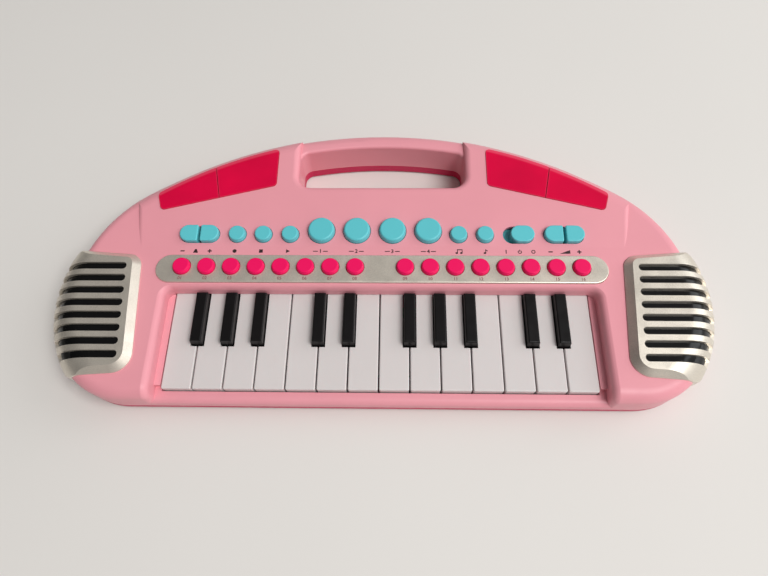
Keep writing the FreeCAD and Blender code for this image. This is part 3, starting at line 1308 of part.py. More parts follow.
def save(node, shapes):
    """Write one node from one or more solids."""
    solids = [solid for shape in shapes for solid in shape.Solids]
    shape = solids[0] if len(solids) == 1 else Part.makeCompound(solids)
    print(node, len(solids), all(solid.isValid() for solid in solids), round(shape.Volume))
    shape.exportStep(f"parts/{node}.step")


def save_case(skin):
    """Case, strip, lenses and everything fixed inside."""
    save("top_case", [top_case(skin)])
    save("bottom_case", [bottom_case()])
    save("battery_door", [battery_door()])
    save("case_screws", case_screws())
    save("rubber_feet", rubber_feet())
    save("batteries", batteries())
    save("battery_contacts", battery_contacts())
    save("control_strip", [control_strip()])
    save("main_board", [main_board()])
    save("light_boards", both_sides(light_board()))
    save("light_diodes", light_diodes())
    save("key_hinge_rod", [key_hinge_rod()])
    save("key_board", [key_board()])
    save("key_contact_strip", [key_contact_strip()])
    lens = light_lens()
    save("light_lens_right", [lens])
    save("light_lens_left", [mirrored(lens)])
    grille = speaker_grille(skin)
    save("speaker_grille_right", [grille])
    save("speaker_grille_left", [mirrored(grille)])
    save("grille_liners", both_sides(grille_liner(skin)))
    save("speakers", both_sides(speaker()))


def save_keys():
    """White keys and black keys, counted from the left."""
    for index in range(WHITE_COUNT):
        save(f"white_key_{index + 1:02d}", [white_key(index)])
    for index, place in enumerate(BLACK_BOUNDARIES):
        save(f"black_key_{index + 1:02d}", [black_key(place)])


def save_controls():
    """Button mats, panel buttons and the power knob."""
    mat = button_mat()
    save("tone_button_mat", [mat])
    save("rhythm_button_mat", [mirrored(mat)])
    for node, share in SMALL_BUTTON_SHARES.items():
        save(node, [small_button(KEYBED_HALF * share)])
    for node, share in DRUM_PAD_SHARES.items():
        save(node, [drum_pad(KEYBED_HALF * share)])
    for pair, share in PAIR_SHARES.items():
        for sign, side in (("minus", -1), ("plus", 1)):
            save(f"{pair}_{sign}_button", [pair_button(KEYBED_HALF * share, side)])
    save("power_knob", [power_knob()])


def main():
    """Build and write every node."""
    save_case(case_skin())
    save_keys()
    save_controls()


main()
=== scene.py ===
"""Looks of the toy keyboard: a finish for every piece, printed marks, door grips, studio and camera."""
import logging
import math
from dataclasses import dataclass
from enum import Enum
from typing import Sequence

import bmesh
import bpy
from mathutils import Matrix, Vector


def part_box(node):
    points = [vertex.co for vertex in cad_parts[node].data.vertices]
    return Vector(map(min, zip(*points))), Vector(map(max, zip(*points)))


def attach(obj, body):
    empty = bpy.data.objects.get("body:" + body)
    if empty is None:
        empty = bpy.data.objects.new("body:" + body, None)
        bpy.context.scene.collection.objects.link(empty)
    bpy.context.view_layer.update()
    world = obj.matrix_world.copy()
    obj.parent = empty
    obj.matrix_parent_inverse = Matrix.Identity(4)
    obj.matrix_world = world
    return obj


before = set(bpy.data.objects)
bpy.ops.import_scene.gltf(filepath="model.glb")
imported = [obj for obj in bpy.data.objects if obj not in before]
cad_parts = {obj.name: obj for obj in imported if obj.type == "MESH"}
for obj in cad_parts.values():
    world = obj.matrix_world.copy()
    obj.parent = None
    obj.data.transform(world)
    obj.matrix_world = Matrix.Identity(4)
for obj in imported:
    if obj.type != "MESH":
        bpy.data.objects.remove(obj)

LOG = logging.getLogger("toy_keyboard")
MM = 0.001
CASE_BODY = "case"
NOISE_SPAN = (0.3, 0.7)
UNIT_SPAN = (0.0, 1.0)
DISC_SIDES = 28
RING_STEPS = 32
FULL_TURN = 360.0
FONT_PER_DIGIT = 1.38
DIGIT_SWELL = 0.035

Point = tuple[float, float]
Colour = tuple[float, float, float, float]


def linear(code: str) -> Colour:
    """Turn a six-digit screen colour into a linear one.

    Args:
        code: Red, green and blue as two hexadecimal digits each.

    Returns:
        Linear red, green and blue, with an alpha of one.
    """
    shares = [int(code[start:start + 2], 16) / 255 for start in (0, 2, 4)]
    levels = [s / 12.92 if s <= 0.04045 else ((s + 0.055) / 1.055) ** 2.4 for s in shares]
    return (*levels, 1.0)


def scaled(colour: Colour, share: float) -> Colour:
    """Lighten or darken a colour.

    Args:
        colour: Linear colour.
        share: Factor on red, green and blue.

    Returns:
        The changed colour, kept under one.
    """
    return (*[min(level * share, 1.0) for level in colour[:3]], 1.0)


class Recipe:
    """Node tree of one finish, with short methods for the nodes that finishes share."""

    def __init__(self, name: str) -> None:
        """Start a material on Object coordinates.

        Args:
            name: Name of the material.
        """
        self.material = bpy.data.materials.new(name)
        self.material.use_nodes = True
        self.tree = self.material.node_tree
        self.shader = self.tree.nodes["Principled BSDF"]
        self.place = self.add("ShaderNodeTexCoord").outputs["Object"]

    def add(self, kind: str, **settings: object) -> bpy.types.Node:
        """Add a node.

        Args:
            kind: Blender's name of the node.
            settings: Properties to set on it.

        Returns:
            The new node.
        """
        node = self.tree.nodes.new(kind)
        for key, value in settings.items():
            setattr(node, key, value)
        return node

    def feed(self, node: bpy.types.Node, socket: str | int, value: object) -> None:
        """Give a socket a link or a constant.

        Args:
            node: Node that owns the socket.
            socket: Name or number of the input.
            value: An output socket to link, or a constant.
        """
        if isinstance(value, bpy.types.NodeSocket):
            self.tree.links.new(value, node.inputs[socket])
        else:
            node.inputs[socket].default_value = value

    def stretched(self, scale: Sequence[float]) -> bpy.types.NodeSocket:
        """Object coordinates with a factor on each axis.

        Args:
            scale: Factors along X, Y and Z.

        Returns:
            The scaled coordinates.
        """
        node = self.add("ShaderNodeMapping")
        self.feed(node, "Vector", self.place)
        self.feed(node, "Scale", tuple(scale))
        return node.outputs[0]

    def noise(
        self, scale: float, detail: float, place: bpy.types.NodeSocket | None = None,
    ) -> bpy.types.NodeSocket:
        """Soft noise.

        Args:
            scale: Features per metre.
            detail: Number of finer layers.
            place: Coordinates, or Object coordinates where none are given.

        Returns:
            Noise from zero to one.
        """
        node = self.add("ShaderNodeTexNoise")
        self.feed(node, "Vector", place or self.place)
        self.feed(node, "Scale", scale)
        self.feed(node, "Detail", detail)
        return node.outputs[0]

    def cells(self, scale: float) -> bpy.types.NodeSocket:
        """Grains, each of one random level.

        Args:
            scale: Grains per metre.

        Returns:
            A level from zero to one.
        """
        node = self.add("ShaderNodeTexVoronoi")
        self.feed(node, "Vector", self.place)
        self.feed(node, "Scale", scale)
        split = self.add("ShaderNodeSeparateColor")
        self.feed(split, 0, node.outputs["Color"])
        return split.outputs[0]

    def axis(self, name: str) -> bpy.types.NodeSocket:
        """One Object coordinate.

        Args:
            name: X, Y or Z.

        Returns:
            The coordinate in metres.
        """
        node = self.add("ShaderNodeSeparateXYZ")
        self.feed(node, 0, self.place)
        return node.outputs[name]

    def sums(self, operation: str, first: object, second: object = 0.0) -> bpy.types.NodeSocket:
        """Sum, product or other step on two values.

        Args:
            operation: Blender's name of the step.
            first: Output socket or number.
            second: Output socket or number.

        Returns:
            The result.
        """
        node = self.add("ShaderNodeMath", operation=operation)
        self.feed(node, 0, first)
        self.feed(node, 1, second)
        return node.outputs[0]

    def between(self, source: bpy.types.NodeSocket, span: Point, result: Point) -> bpy.types.NodeSocket:
        """Map one span of values onto another, and stop at its ends.

        Args:
            source: Values to map.
            span: Lowest and highest value of the source.
            result: What they become.

        Returns:
            The mapped values.
        """
        node = self.add("ShaderNodeMapRange")
        self.feed(node, 0, source)
        for socket, value in enumerate((*span, *result), start=1):
            self.feed(node, socket, value)
        return node.outputs[0]

    def uneven(self, scale: float, detail: float, result: Point) -> bpy.types.NodeSocket:
        """Soft noise spread over a span of values.

        Args:
            scale: Features per metre.
            detail: Number of finer layers.
            result: Lowest and highest value.

        Returns:
            The spread noise.
        """
        return self.between(self.noise(scale, detail), NOISE_SPAN, result)

    def blend(self, share: bpy.types.NodeSocket, first: object, second: object) -> bpy.types.NodeSocket:
        """Blend two colours.

        Args:
            share: Zero for the first, one for the second.
            first: Colour or output socket.
            second: Colour or output socket.

        Returns:
            The blended colour.
        """
        node = self.add("ShaderNodeMix", data_type="RGBA")
        self.feed(node, 0, share)
        self.feed(node, 6, first)
        self.feed(node, 7, second)
        return node.outputs[2]

    def edges(self, reach: float) -> bpy.types.NodeSocket:
        """Mask of the outer edges.

        Args:
            reach: How far from an edge the mask goes, in metres.

        Returns:
            One at an edge, zero on a flat face.
        """
        soft = self.add("ShaderNodeBevel", samples=4)
        self.feed(soft, "Radius", reach)
        hard = self.add("ShaderNodeNewGeometry")
        turn = self.add("ShaderNodeVectorMath", operation="DOT_PRODUCT")
        self.feed(turn, 0, soft.outputs[0])
        self.feed(turn, 1, hard.outputs["Normal"])
        return self.between(turn.outputs["Value"], (0.82, 0.99), (1.0, 0.0))

    def bump(self, height: bpy.types.NodeSocket, strength: float, depth: float) -> None:
        """Drive the shader's normal from a height.

        Args:
            height: Height from zero to one.
            strength: How strongly it shows.
            depth: Depth of the relief in metres.
        """
        node = self.add("ShaderNodeBump")
        self.feed(node, "Strength", strength)
        self.feed(node, "Distance", depth)
        self.feed(node, "Height", height)
        self.feed(self.shader, "Normal", node.outputs[0])


@dataclass(frozen=True)
class MouldedPlastic:
    """Injection-moulded plastic: faint clouds, uneven gloss, fine grain, and edges lightened in patches as
    rubbed wear with a painted highlight.

    Attributes:
        name: Name of the finish.
        colour: Linear colour.
        roughness: Middle of the roughness.
        swing: How far the roughness goes up and down.
        cloud: How far the colour goes up and down.
        grain: Strength of the grain.
        grain_scale: Grains per metre.
        coat: Weight of a clear gloss on top.
        glow: Share of light that scatters under the surface.
        rub_and_highlight: How far the edges are lightened, as rubbed wear and a painted highlight.
        shine: Level of the mirror reflection, where 0.5 is clear plastic's.
        rub_highlight_reach: How far from an edge the rubbing and the painted highlight go.
        rubbed_highlight: Factor on the colour where the edges are rubbed and the highlight is painted.
    """

    name: str
    colour: Colour
    roughness: float = 0.4
    swing: float = 0.08
    cloud: float = 0.05
    grain: float = 0.1
    grain_scale: float = 1600.0
    coat: float = 0.0
    glow: float = 0.0
    rub_and_highlight: float = 0.0
    shine: float = 0.4
    rub_highlight_reach: float = 0.7 * MM
    rubbed_highlight: float = 1.35

    def tint(self, recipe: Recipe) -> bpy.types.NodeSocket:
        """Colour all over the piece.

        Args:
            recipe: The node tree to add to.

        Returns:
            The clouded colour with its rubbed edges and painted edge highlight.
        """
        cloud = recipe.uneven(22.0, 3.0, UNIT_SPAN)
        colour = recipe.blend(cloud, scaled(self.colour, 1 - self.cloud), scaled(self.colour, 1 + self.cloud))
        # Edges lightened in patches: rubbed wear with a painted highlight along them.
        if self.rub_and_highlight:
            worn_highlight = recipe.sums("MULTIPLY", recipe.edges(self.rub_highlight_reach), recipe.noise(260.0, 4.0))
            share = recipe.sums("MULTIPLY", worn_highlight, self.rub_and_highlight)
            colour = recipe.blend(share, colour, scaled(self.colour, self.rubbed_highlight))
        return colour

    def make(self) -> bpy.types.Material:
        """Build the material.

        Returns:
            The finished material.
        """
        recipe = Recipe(self.name)
        low, high = self.roughness - self.swing, self.roughness + self.swing
        recipe.feed(recipe.shader, "Base Color", self.tint(recipe))
        recipe.feed(recipe.shader, "Roughness", recipe.uneven(140.0, 5.0, (low, high)))
        recipe.feed(recipe.shader, "Specular IOR Level", self.shine)
        recipe.feed(recipe.shader, "Coat Weight", self.coat)
        recipe.feed(recipe.shader, "Coat Roughness", 0.12)
        recipe.feed(recipe.shader, "Subsurface Weight", self.glow)
        recipe.feed(recipe.shader, "Subsurface Radius", (1.0, 0.6, 0.6))
        recipe.feed(recipe.shader, "Subsurface Scale", 0.8 * MM)
        recipe.bump(recipe.noise(self.grain_scale, 2.0), self.grain, 0.06 * MM)
        return recipe.material


@dataclass(frozen=True)
class ShellPlastic(MouldedPlastic):
    """Moulded plastic with a dark coat where the speaker grilles cover it.

    Attributes:
        middle: Middle of the right-hand grille's outer arc in metres.
        reach: Radius that the dark coat goes out to.
        inner: Where it starts along the keyboard.
        span: Where it starts and ends across the keyboard.
        floor: Lowest height of the coat.
        coating: Its linear colour.
    """

    middle: Point = (126.2 * MM, -31.0 * MM)
    reach: float = 83.2 * MM
    inner: float = 158.5 * MM
    span: Point = (-77.0 * MM, -8.0 * MM)
    floor: float = 16.0 * MM
    coating: Colour = (0.004, 0.004, 0.004, 1.0)

    def tint(self, recipe: Recipe) -> bpy.types.NodeSocket:
        """Colour all over the piece.

        Args:
            recipe: The node tree to add to.

        Returns:
            The plastic's colour, with the dark coat under the grilles.
        """
        out, across = recipe.sums("ABSOLUTE", recipe.axis("X")), recipe.axis("Y")
        offsets = [recipe.sums("SUBTRACT", way, start) for way, start in zip((out, across), self.middle)]
        squares = [recipe.sums("MULTIPLY", offset, offset) for offset in offsets]
        zone = recipe.sums("LESS_THAN", recipe.sums("ADD", *squares), self.reach ** 2)
        for way, test, limit in (
            (out, "GREATER_THAN", self.inner), (across, "GREATER_THAN", self.span[0]),
            (across, "LESS_THAN", self.span[1]), (recipe.axis("Z"), "GREATER_THAN", self.floor),
        ):
            zone = recipe.sums("MULTIPLY", zone, recipe.sums(test, way, limit))
        return recipe.blend(zone, super().tint(recipe), self.coating)


@dataclass(frozen=True)
class SilverPaint:
    """Silver paint on plastic: fine metal flakes in a satin lacquer, lighter in patches along the edges as
    thinner paint and a painted highlight.

    Attributes:
        name: Name of the finish.
        colour: Linear colour.
        metal: How metallic the paint is.
        roughness: Middle of the roughness.
        flake: Flakes per metre.
        wear_and_highlight: How far the edges are lightened, as thin paint and a painted highlight.
        worn_highlight: Factor on the colour where the edges are lightened and the highlight is painted.
    """

    name: str
    colour: Colour
    metal: float = 0.76
    roughness: float = 0.38
    flake: float = 5200.0
    wear_and_highlight: float = 0.35
    worn_highlight: float = 1.25

    def make(self) -> bpy.types.Material:
        """Build the material.

        Returns:
            The finished material.
        """
        recipe = Recipe(self.name)
        flakes = recipe.cells(self.flake)
        colour = recipe.blend(flakes, scaled(self.colour, 0.82), scaled(self.colour, 1.16))
        # Thin paint along the edges, lightened in patches: this also paints a highlight there.
        thin = recipe.sums("MULTIPLY", recipe.edges(0.5 * MM), recipe.noise(320.0, 5.0))
        share = recipe.sums("MULTIPLY", thin, self.wear_and_highlight)
        colour = recipe.blend(share, colour, scaled(self.colour, self.worn_highlight))
        uneven = recipe.uneven(90.0, 5.0, (self.roughness - 0.06, self.roughness + 0.08))
        recipe.feed(recipe.shader, "Base Color", colour)
        recipe.feed(recipe.shader, "Metallic", self.metal)
        recipe.feed(recipe.shader, "Roughness", uneven)
        recipe.bump(flakes, 0.05, 0.03 * MM)
        return recipe.material


@dataclass(frozen=True)
class TintedLens:
    """Tinted lens: deep colour with fine scuffs in the gloss, and a painted highlight along its edges and its
    far edge.

    Attributes:
        name: Name of the finish.
        colour: Linear colour.
        clear: Share of light that passes through.
        shine: Level of the mirror reflection.
        arc_centre: Middle of the arc that the far edge follows, along the depth.
        arc_radius: Radius of that arc.
        highlight_fade: Where the painted highlight on the far edge starts and is full, from the arc inwards.
        light: Linear colour of the painted highlight on the edges.
    """

    name: str
    colour: Colour
    clear: float = 0.04
    shine: float = 0.16
    arc_centre: float = -191.5 * MM
    arc_radius: float = 280.4 * MM
    highlight_fade: Point = (3.4 * MM, 2.2 * MM)
    light: Colour = (0.88, 0.09, 0.17, 1.0)

    def make(self) -> bpy.types.Material:
        """Build the material.

        Returns:
            The finished material.
        """
        recipe = Recipe(self.name)
        depth = recipe.uneven(30.0, 2.0, UNIT_SPAN)
        colour = recipe.blend(depth, scaled(self.colour, 0.9), scaled(self.colour, 1.1))
        # Painted highlight: lighter rims along all edges and a lighter band along the far edge.
        rim_highlight = recipe.sums("MULTIPLY", recipe.edges(1.3 * MM), 0.5)
        reach = recipe.add("ShaderNodeVectorMath", operation="DISTANCE")
        recipe.feed(reach, 0, recipe.stretched((1.0, 1.0, 0.0)))
        recipe.feed(reach, 1, (0.0, self.arc_centre, 0.0))
        span = (self.arc_radius - self.highlight_fade[0], self.arc_radius - self.highlight_fade[1])
        rim_highlight = recipe.sums("MAXIMUM", rim_highlight, recipe.between(reach.outputs["Value"], span, (0.0, 0.6)))
        colour = recipe.blend(rim_highlight, colour, self.light)
        rubs = recipe.noise(420.0, 6.0, recipe.stretched((1.0, 0.12, 1.0)))
        scuffs = recipe.between(rubs, (0.45, 0.8), (0.12, 0.28))
        recipe.feed(recipe.shader, "Base Color", colour)
        recipe.feed(recipe.shader, "Roughness", scuffs)
        recipe.feed(recipe.shader, "Specular IOR Level", self.shine)
        recipe.feed(recipe.shader, "Transmission Weight", self.clear)
        recipe.feed(recipe.shader, "IOR", 1.49)
        recipe.bump(recipe.noise(70.0, 1.0), 0.04, 0.2 * MM)
        return recipe.material


@dataclass(frozen=True)
class BrightSteel:
    """Plated steel with drawing lines along one axis.

    Attributes:
        name: Name of the finish.
        colour: Linear colour.
        lines: Factors on the axes that stretch the drawing lines.
    """

    name: str
    colour: Colour
    lines: tuple[float, float, float]

    def make(self) -> bpy.types.Material:
        """Build the material.

        Returns:
            The finished material.
        """
        recipe = Recipe(self.name)
        drawn = recipe.noise(900.0, 4.0, recipe.stretched(self.lines))
        recipe.feed(recipe.shader, "Base Color", recipe.blend(drawn, scaled(self.colour, 0.8), self.colour))
        recipe.feed(recipe.shader, "Metallic", 1.0)
        recipe.feed(recipe.shader, "Roughness", recipe.between(drawn, NOISE_SPAN, (0.22, 0.42)))
        recipe.bump(drawn, 0.08, 0.02 * MM)
        return recipe.material


@dataclass(frozen=True)
class CircuitBoard:
    """Green circuit board: square-cornered copper runs under a solder mask.

    Attributes:
        name: Name of the finish.
        mask: Colour between the runs.
        run: Colour over the runs.
    """

    name: str
    mask: Colour
    run: Colour

    def make(self) -> bpy.types.Material:
        """Build the material.

        Returns:
            The finished material.
        """
        recipe = Recipe(self.name)
        runs = recipe.add("ShaderNodeTexBrick", offset=0.5)
        recipe.feed(runs, "Vector", recipe.place)
        recipe.feed(runs, "Scale", 90.0)
        recipe.feed(runs, "Mortar Size", 0.05)
        lines = recipe.sums("SUBTRACT", 1.0, runs.outputs["Fac"])
        recipe.feed(recipe.shader, "Base Color", recipe.blend(lines, self.run, self.mask))
        recipe.feed(recipe.shader, "Roughness", recipe.uneven(200.0, 3.0, (0.28, 0.42)))
        recipe.bump(runs.outputs["Fac"], 0.3, 0.04 * MM)
        return recipe.material


@dataclass(frozen=True)
class CellJacket:
    """Battery cell: a printed film round the middle and bare metal at both ends.

    Attributes:
        name: Name of the finish.
        film: Colour of the film.
        band: Colour of the band near one end.
        metal: Colour of the bare ends.
        half: Half length of the film in metres.
    """

    name: str
    film: Colour
    band: Colour
    metal: Colour
    half: float

    def make(self) -> bpy.types.Material:
        """Build the material.

        Returns:
            The finished material.
        """
        recipe = Recipe(self.name)
        along = recipe.sums("ABSOLUTE", recipe.axis("X"))
        banded = recipe.sums("GREATER_THAN", along, self.half * 0.7)
        ends = recipe.sums("GREATER_THAN", along, self.half)
        film = recipe.blend(banded, self.film, self.band)
        recipe.feed(recipe.shader, "Base Color", recipe.blend(ends, film, self.metal))
        recipe.feed(recipe.shader, "Metallic", recipe.between(ends, UNIT_SPAN, (0.15, 0.9)))
        recipe.feed(recipe.shader, "Roughness", recipe.uneven(300.0, 4.0, (0.24, 0.4)))
        recipe.bump(recipe.noise(500.0, 2.0), 0.05, 0.03 * MM)
        return recipe.material


@dataclass(frozen=True)
class PrintedInk:
    """Screen-printed ink: matt, with small gaps where the print is thin.

    Attributes:
        name: Name of the finish.
        colour: Linear colour.
    """

    name: str
    colour: Colour

    def make(self) -> bpy.types.Material:
        """Build the material.

        Returns:
            The finished material.
        """
        recipe = Recipe(self.name)
        thin = recipe.between(recipe.noise(2600.0, 3.0), (0.45, 0.75), (0.0, 0.35))
        recipe.feed(recipe.shader, "Base Color", recipe.blend(thin, self.colour, scaled(self.colour, 1.6)))
        recipe.feed(recipe.shader, "Roughness", recipe.uneven(800.0, 2.0, (0.5, 0.66)))
        recipe.bump(thin, 0.1, 0.02 * MM)
        return recipe.material


class Finish(Enum):
    """The finishes of this object, each made once."""

    PINK_SHELL = ShellPlastic("pink_shell", linear("e79aa5"), 0.42, 0.05, 0.02, 0.1, rub_and_highlight=0.2)
    MAGENTA_SHELL = MouldedPlastic("magenta_shell", linear("c4104f"), 0.44, 0.06, 0.04, 0.14, rub_and_highlight=0.2)
    WHITE_KEY = MouldedPlastic(
        "white_key_gloss", linear("d6cfce"), 0.32, 0.04, 0.012, 0.02, glow=0.1, shine=0.35,
    )
    BLACK_KEY = MouldedPlastic(
        "black_key_satin", linear("0f0d0e"), 0.34, 0.06, 0.12, 0.06, rub_and_highlight=0.4, shine=0.22,
    )
    TURQUOISE_CAP = MouldedPlastic(
        "turquoise_cap", linear("5fc3cc"), 0.36, 0.05, 0.02, 0.05, rub_and_highlight=0.2, shine=0.35,
    )
    MAGENTA_RUBBER = MouldedPlastic(
        "button_rubber", linear("ef0f5f"), 0.46, 0.05, 0.03, 0.1, rub_and_highlight=0.12, shine=0.2,
    )
    SILVER = SilverPaint("silver_paint", linear("e1d9cc"))
    BLACK_LINER = MouldedPlastic("glossy_liner", linear("060607"), 0.16, 0.04, 0.1, 0.05, shine=0.3)
    RED_LENS = TintedLens("tinted_lens", linear("d9043e"))
    STEEL = BrightSteel("bright_steel", linear("c9c9cb"), (0.05, 1.0, 1.0))
    SCREW_STEEL = BrightSteel("screw_steel", linear("b4b4b8"), (1.0, 1.0, 0.1))
    BOARD = CircuitBoard("circuit_board", linear("1d5a30"), linear("2f7d45"))
    CONTACT_RUBBER = MouldedPlastic("contact_pad_rubber", linear("8a8a8c"), 0.62, 0.08, 0.06, 0.2)
    FOOT_RUBBER = MouldedPlastic("foot_rubber", linear("232323"), 0.7, 0.08, 0.12, 0.3)
    SPEAKER = MouldedPlastic("speaker_paper", linear("2c2c2e"), 0.6, 0.1, 0.15, 0.35, 700.0)
    CELL = CellJacket("cell_film", linear("2b3f6b"), linear("c98c3c"), linear("c4c4c6"), 23.4 * MM)
    DIODE = MouldedPlastic("diode_dome", linear("d8332f"), 0.15, 0.04, 0.05, 0.02, coat=0.5)
    DARK_INK = PrintedInk("dark_ink", linear("2c1519"))
    PALE_INK = PrintedInk("pale_ink", linear("8b625f"))

    def material(self) -> bpy.types.Material:
        """The finish's material, built when it is first asked for."""
        return bpy.data.materials.get(self.value.name) or self.value.make()


def dress(finish: Finish, nodes: Sequence[str]) -> None:
    """Give CAD pieces a finish.

    Args:
        finish: The finish.
        nodes: Names of the pieces.
    """
    for node in nodes:
        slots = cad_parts[node].data.materials
        slots.clear()
        slots.append(finish.material())
        LOG.info("dressed %s in %s", node, finish.value.name)


def add_piece(name: str, mesh: bpy.types.Mesh, finish: Finish) -> bpy.types.Object:
    """Put a finished mesh into the scene as a piece that rides on the case.

    Args:
        name: Name of the piece.
        mesh: Its mesh, already in place.
        finish: Its finish.

    Returns:
        The new piece.
    """
    piece = bpy.data.objects.new(name, mesh)
    bpy.context.scene.collection.objects.link(piece)
    mesh.materials.append(finish.material())
    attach(piece, CASE_BODY)
    LOG.info("built %s", name)
    return piece


class Stamp:
    """A printed mark: flat shapes raised to one thin film on a level face."""

    def __init__(self, name: str, level: float, film: float) -> None:
        """Start an empty mark.

        Args:
            name: Name of the piece.
            level: Height of the face that carries it, in millimetres.
            film: Thickness of the film in millimetres.
        """
        self.name = name
        self.low = level - film / 2
        self.film = film
        self.form = bmesh.new()

    def shape(self, corners: Sequence[Point]) -> "Stamp":
        """Add a straight-sided shape.

        Args:
            corners: Its corners in millimetres, in order.

        Returns:
            The mark itself.
        """
        points = [self.form.verts.new((x, y, self.low)) for x, y in corners]
        self.form.faces.new(points)
        return self

    def bar(self, x: float, y: float, width: float, height: float) -> "Stamp":
        """Add an upright rectangle.

        Args:
            x: Middle along the keyboard.
            y: Middle across it.
            width: Size along the keyboard.
            height: Size across it.

        Returns:
            The mark itself.
        """
        left, right, low, high = x - width / 2, x + width / 2, y - height / 2, y + height / 2
        return self.shape(((left, low), (right, low), (right, high), (left, high)))

    def disc(self, x: float, y: float, radius: float, squash: float = 1.0) -> "Stamp":
        """Add a round or oval spot.

        Args:
            x: Middle along the keyboard.
            y: Middle across it.
            radius: Half its width.
            squash: Its height as a share of its width.

        Returns:
            The mark itself.
        """
        place = Matrix.Translation((x, y, self.low)) @ Matrix.Diagonal((1.0, squash, 1.0, 1.0))
        bmesh.ops.create_circle(self.form, cap_ends=True, segments=DISC_SIDES, radius=radius, matrix=place)
        return self

    def sweep(self, x: float, y: float, radius: float, line: float, start: float, turn: float) -> "Stamp":
        """Add a ring or part of one.

        Args:
            x: Middle along the keyboard.
            y: Middle across it.
            radius: Radius to the middle of the line.
            line: Width of the line.
            start: Where the line starts, in degrees from the right.
            turn: How far it goes round, in degrees.

        Returns:
            The mark itself.
        """
        way = Vector((math.cos(math.radians(start)), math.sin(math.radians(start)), 0.0))
        middle = Vector((x, y, self.low))
        ends = [self.form.verts.new(middle + way * (radius + side * line / 2)) for side in (-1, 1)]
        edge = self.form.edges.new(ends)
        bmesh.ops.spin(
            self.form, geom=[*ends, edge], cent=middle, axis=(0.0, 0.0, 1.0), dvec=(0.0, 0.0, 0.0),
            angle=math.radians(turn), steps=RING_STEPS, use_merge=turn == FULL_TURN, use_duplicate=False,
        )
        return self

    def press(self, finish: Finish) -> bpy.types.Object:
        """Raise the shapes to a film and add the mark to the case.

        Args:
            finish: The ink.

        Returns:
            The new piece.
        """
        raised = bmesh.ops.extrude_face_region(self.form, geom=self.form.faces[:], use_keep_orig=True)
        tops = [item for item in raised["geom"] if isinstance(item, bmesh.types.BMVert)]
        bmesh.ops.translate(self.form, verts=tops, vec=(0.0, 0.0, self.film))
        bmesh.ops.recalc_face_normals(self.form, faces=self.form.faces[:])
        bmesh.ops.scale(self.form, vec=(MM, MM, MM), verts=self.form.verts[:])
        mesh = bpy.data.meshes.new(self.name)
        self.form.to_mesh(mesh)
        self.form.free()
        return add_piece(self.name, mesh, finish)


def print_number(
    name: str, digits: str, place: Vector, height: float, film: float, finish: Finish,
) -> bpy.types.Object:
    """Print a plain number on a level face.

    Args:
        name: Name of the piece.
        digits: The number.
        place: Its middle, in millimetres, on the face.
        height: Height of a digit in millimetres.
        film: Thickness of the print in millimetres.
        finish: The ink.

    Returns:
        The new piece.
    """
    curve = bpy.data.curves.new(name, "FONT")
    curve.body = digits
    curve.size = height * FONT_PER_DIGIT
    curve.align_x = "CENTER"
    curve.align_y = "CENTER"
    curve.extrude = film / 2
    curve.offset = height * DIGIT_SWELL
    curve.resolution_u = 4
    writing = bpy.data.objects.new(name, curve)
    bpy.context.scene.collection.objects.link(writing)
    depsgraph = bpy.context.evaluated_depsgraph_get()
    mesh = bpy.data.meshes.new_from_object(writing.evaluated_get(depsgraph))
    bpy.data.objects.remove(writing)
    bpy.data.curves.remove(curve)
    mesh.materials.clear()
    mesh.transform(Matrix.Scale(MM, 4) @ Matrix.Translation(place))
    return add_piece(name, mesh, finish)


@dataclass
class CaseShell:
    """Pink top case, magenta bottom case, battery door with grips, screws and feet.

    Attributes:
        grip_count: Number of grip ribs on the door.
        grip_pitch: Distance between the ribs in millimetres.
        grip_width: Width of a rib.
        grip_rise: How far a rib stands out.
        grip_length: Length of a rib as a share of the door's depth.
        grip_start: Distance of the first rib from the door's end.
        grip_edge: Width of the rounding on a rib's edges.
    """

    grip_count: int = 5
    grip_pitch: float = 2.6
    grip_width: float = 1.1
    grip_rise: float = 0.5
    grip_length: float = 0.3
    grip_start: float = 5.0
    grip_edge: float = 0.12

    def build(self) -> None:
        """Add the grip ribs to the underside of the battery door."""
        low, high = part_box("battery_door")
        form = bmesh.new()
        middle_y = (low.y + high.y) / 2
        for index in range(self.grip_count):
            x = low.x + (self.grip_start + self.grip_pitch * index) * MM
            place = Matrix.Translation((x, middle_y, low.z - self.grip_rise * MM / 4))
            length = (high.y - low.y) * self.grip_length
            size = Matrix.Diagonal((self.grip_width * MM, length, self.grip_rise * MM, 1.0))
            made = bmesh.ops.create_cube(form, size=1.0, matrix=place @ size)
            form.edges.index_update()
            rib_edges = {edge for vert in made["verts"] for edge in vert.link_edges}
            edges = sorted(rib_edges, key=lambda edge: edge.index)
            bmesh.ops.bevel(
                form, geom=edges, offset=self.grip_edge * MM, offset_type="OFFSET", affect="EDGES",
                segments=2, profile=0.5, material=-1,
            )
        bmesh.ops.recalc_face_normals(form, faces=form.faces[:])
        mesh = bpy.data.meshes.new("battery_door_grips")
        form.to_mesh(mesh)
        form.free()
        add_piece("battery_door_grips", mesh, Finish.MAGENTA_SHELL)

    def dress(self) -> None:
        """Give the case and its fittings their finishes."""
        dress(Finish.PINK_SHELL, ["top_case"])
        dress(Finish.MAGENTA_SHELL, ["bottom_case", "battery_door"])
        dress(Finish.SCREW_STEEL, ["case_screws"])
        dress(Finish.FOOT_RUBBER, ["rubber_feet"])


@dataclass
class KeyBed:
    """White and black keys with the rod, board and contacts under them.

    Attributes:
        whites: Number of white keys.
        blacks: Number of black keys.
    """

    whites: int = 14
    blacks: int = 10

    def dress(self) -> None:
        """Give the keys and what lies under them their finishes."""
        dress(Finish.WHITE_KEY, [f"white_key_{index + 1:02d}" for index in range(self.whites)])
        dress(Finish.BLACK_KEY, [f"black_key_{index + 1:02d}" for index in range(self.blacks)])
        dress(Finish.STEEL, ["key_hinge_rod"])
        dress(Finish.BOARD, ["key_board"])
        dress(Finish.CONTACT_RUBBER, ["key_contact_strip"])


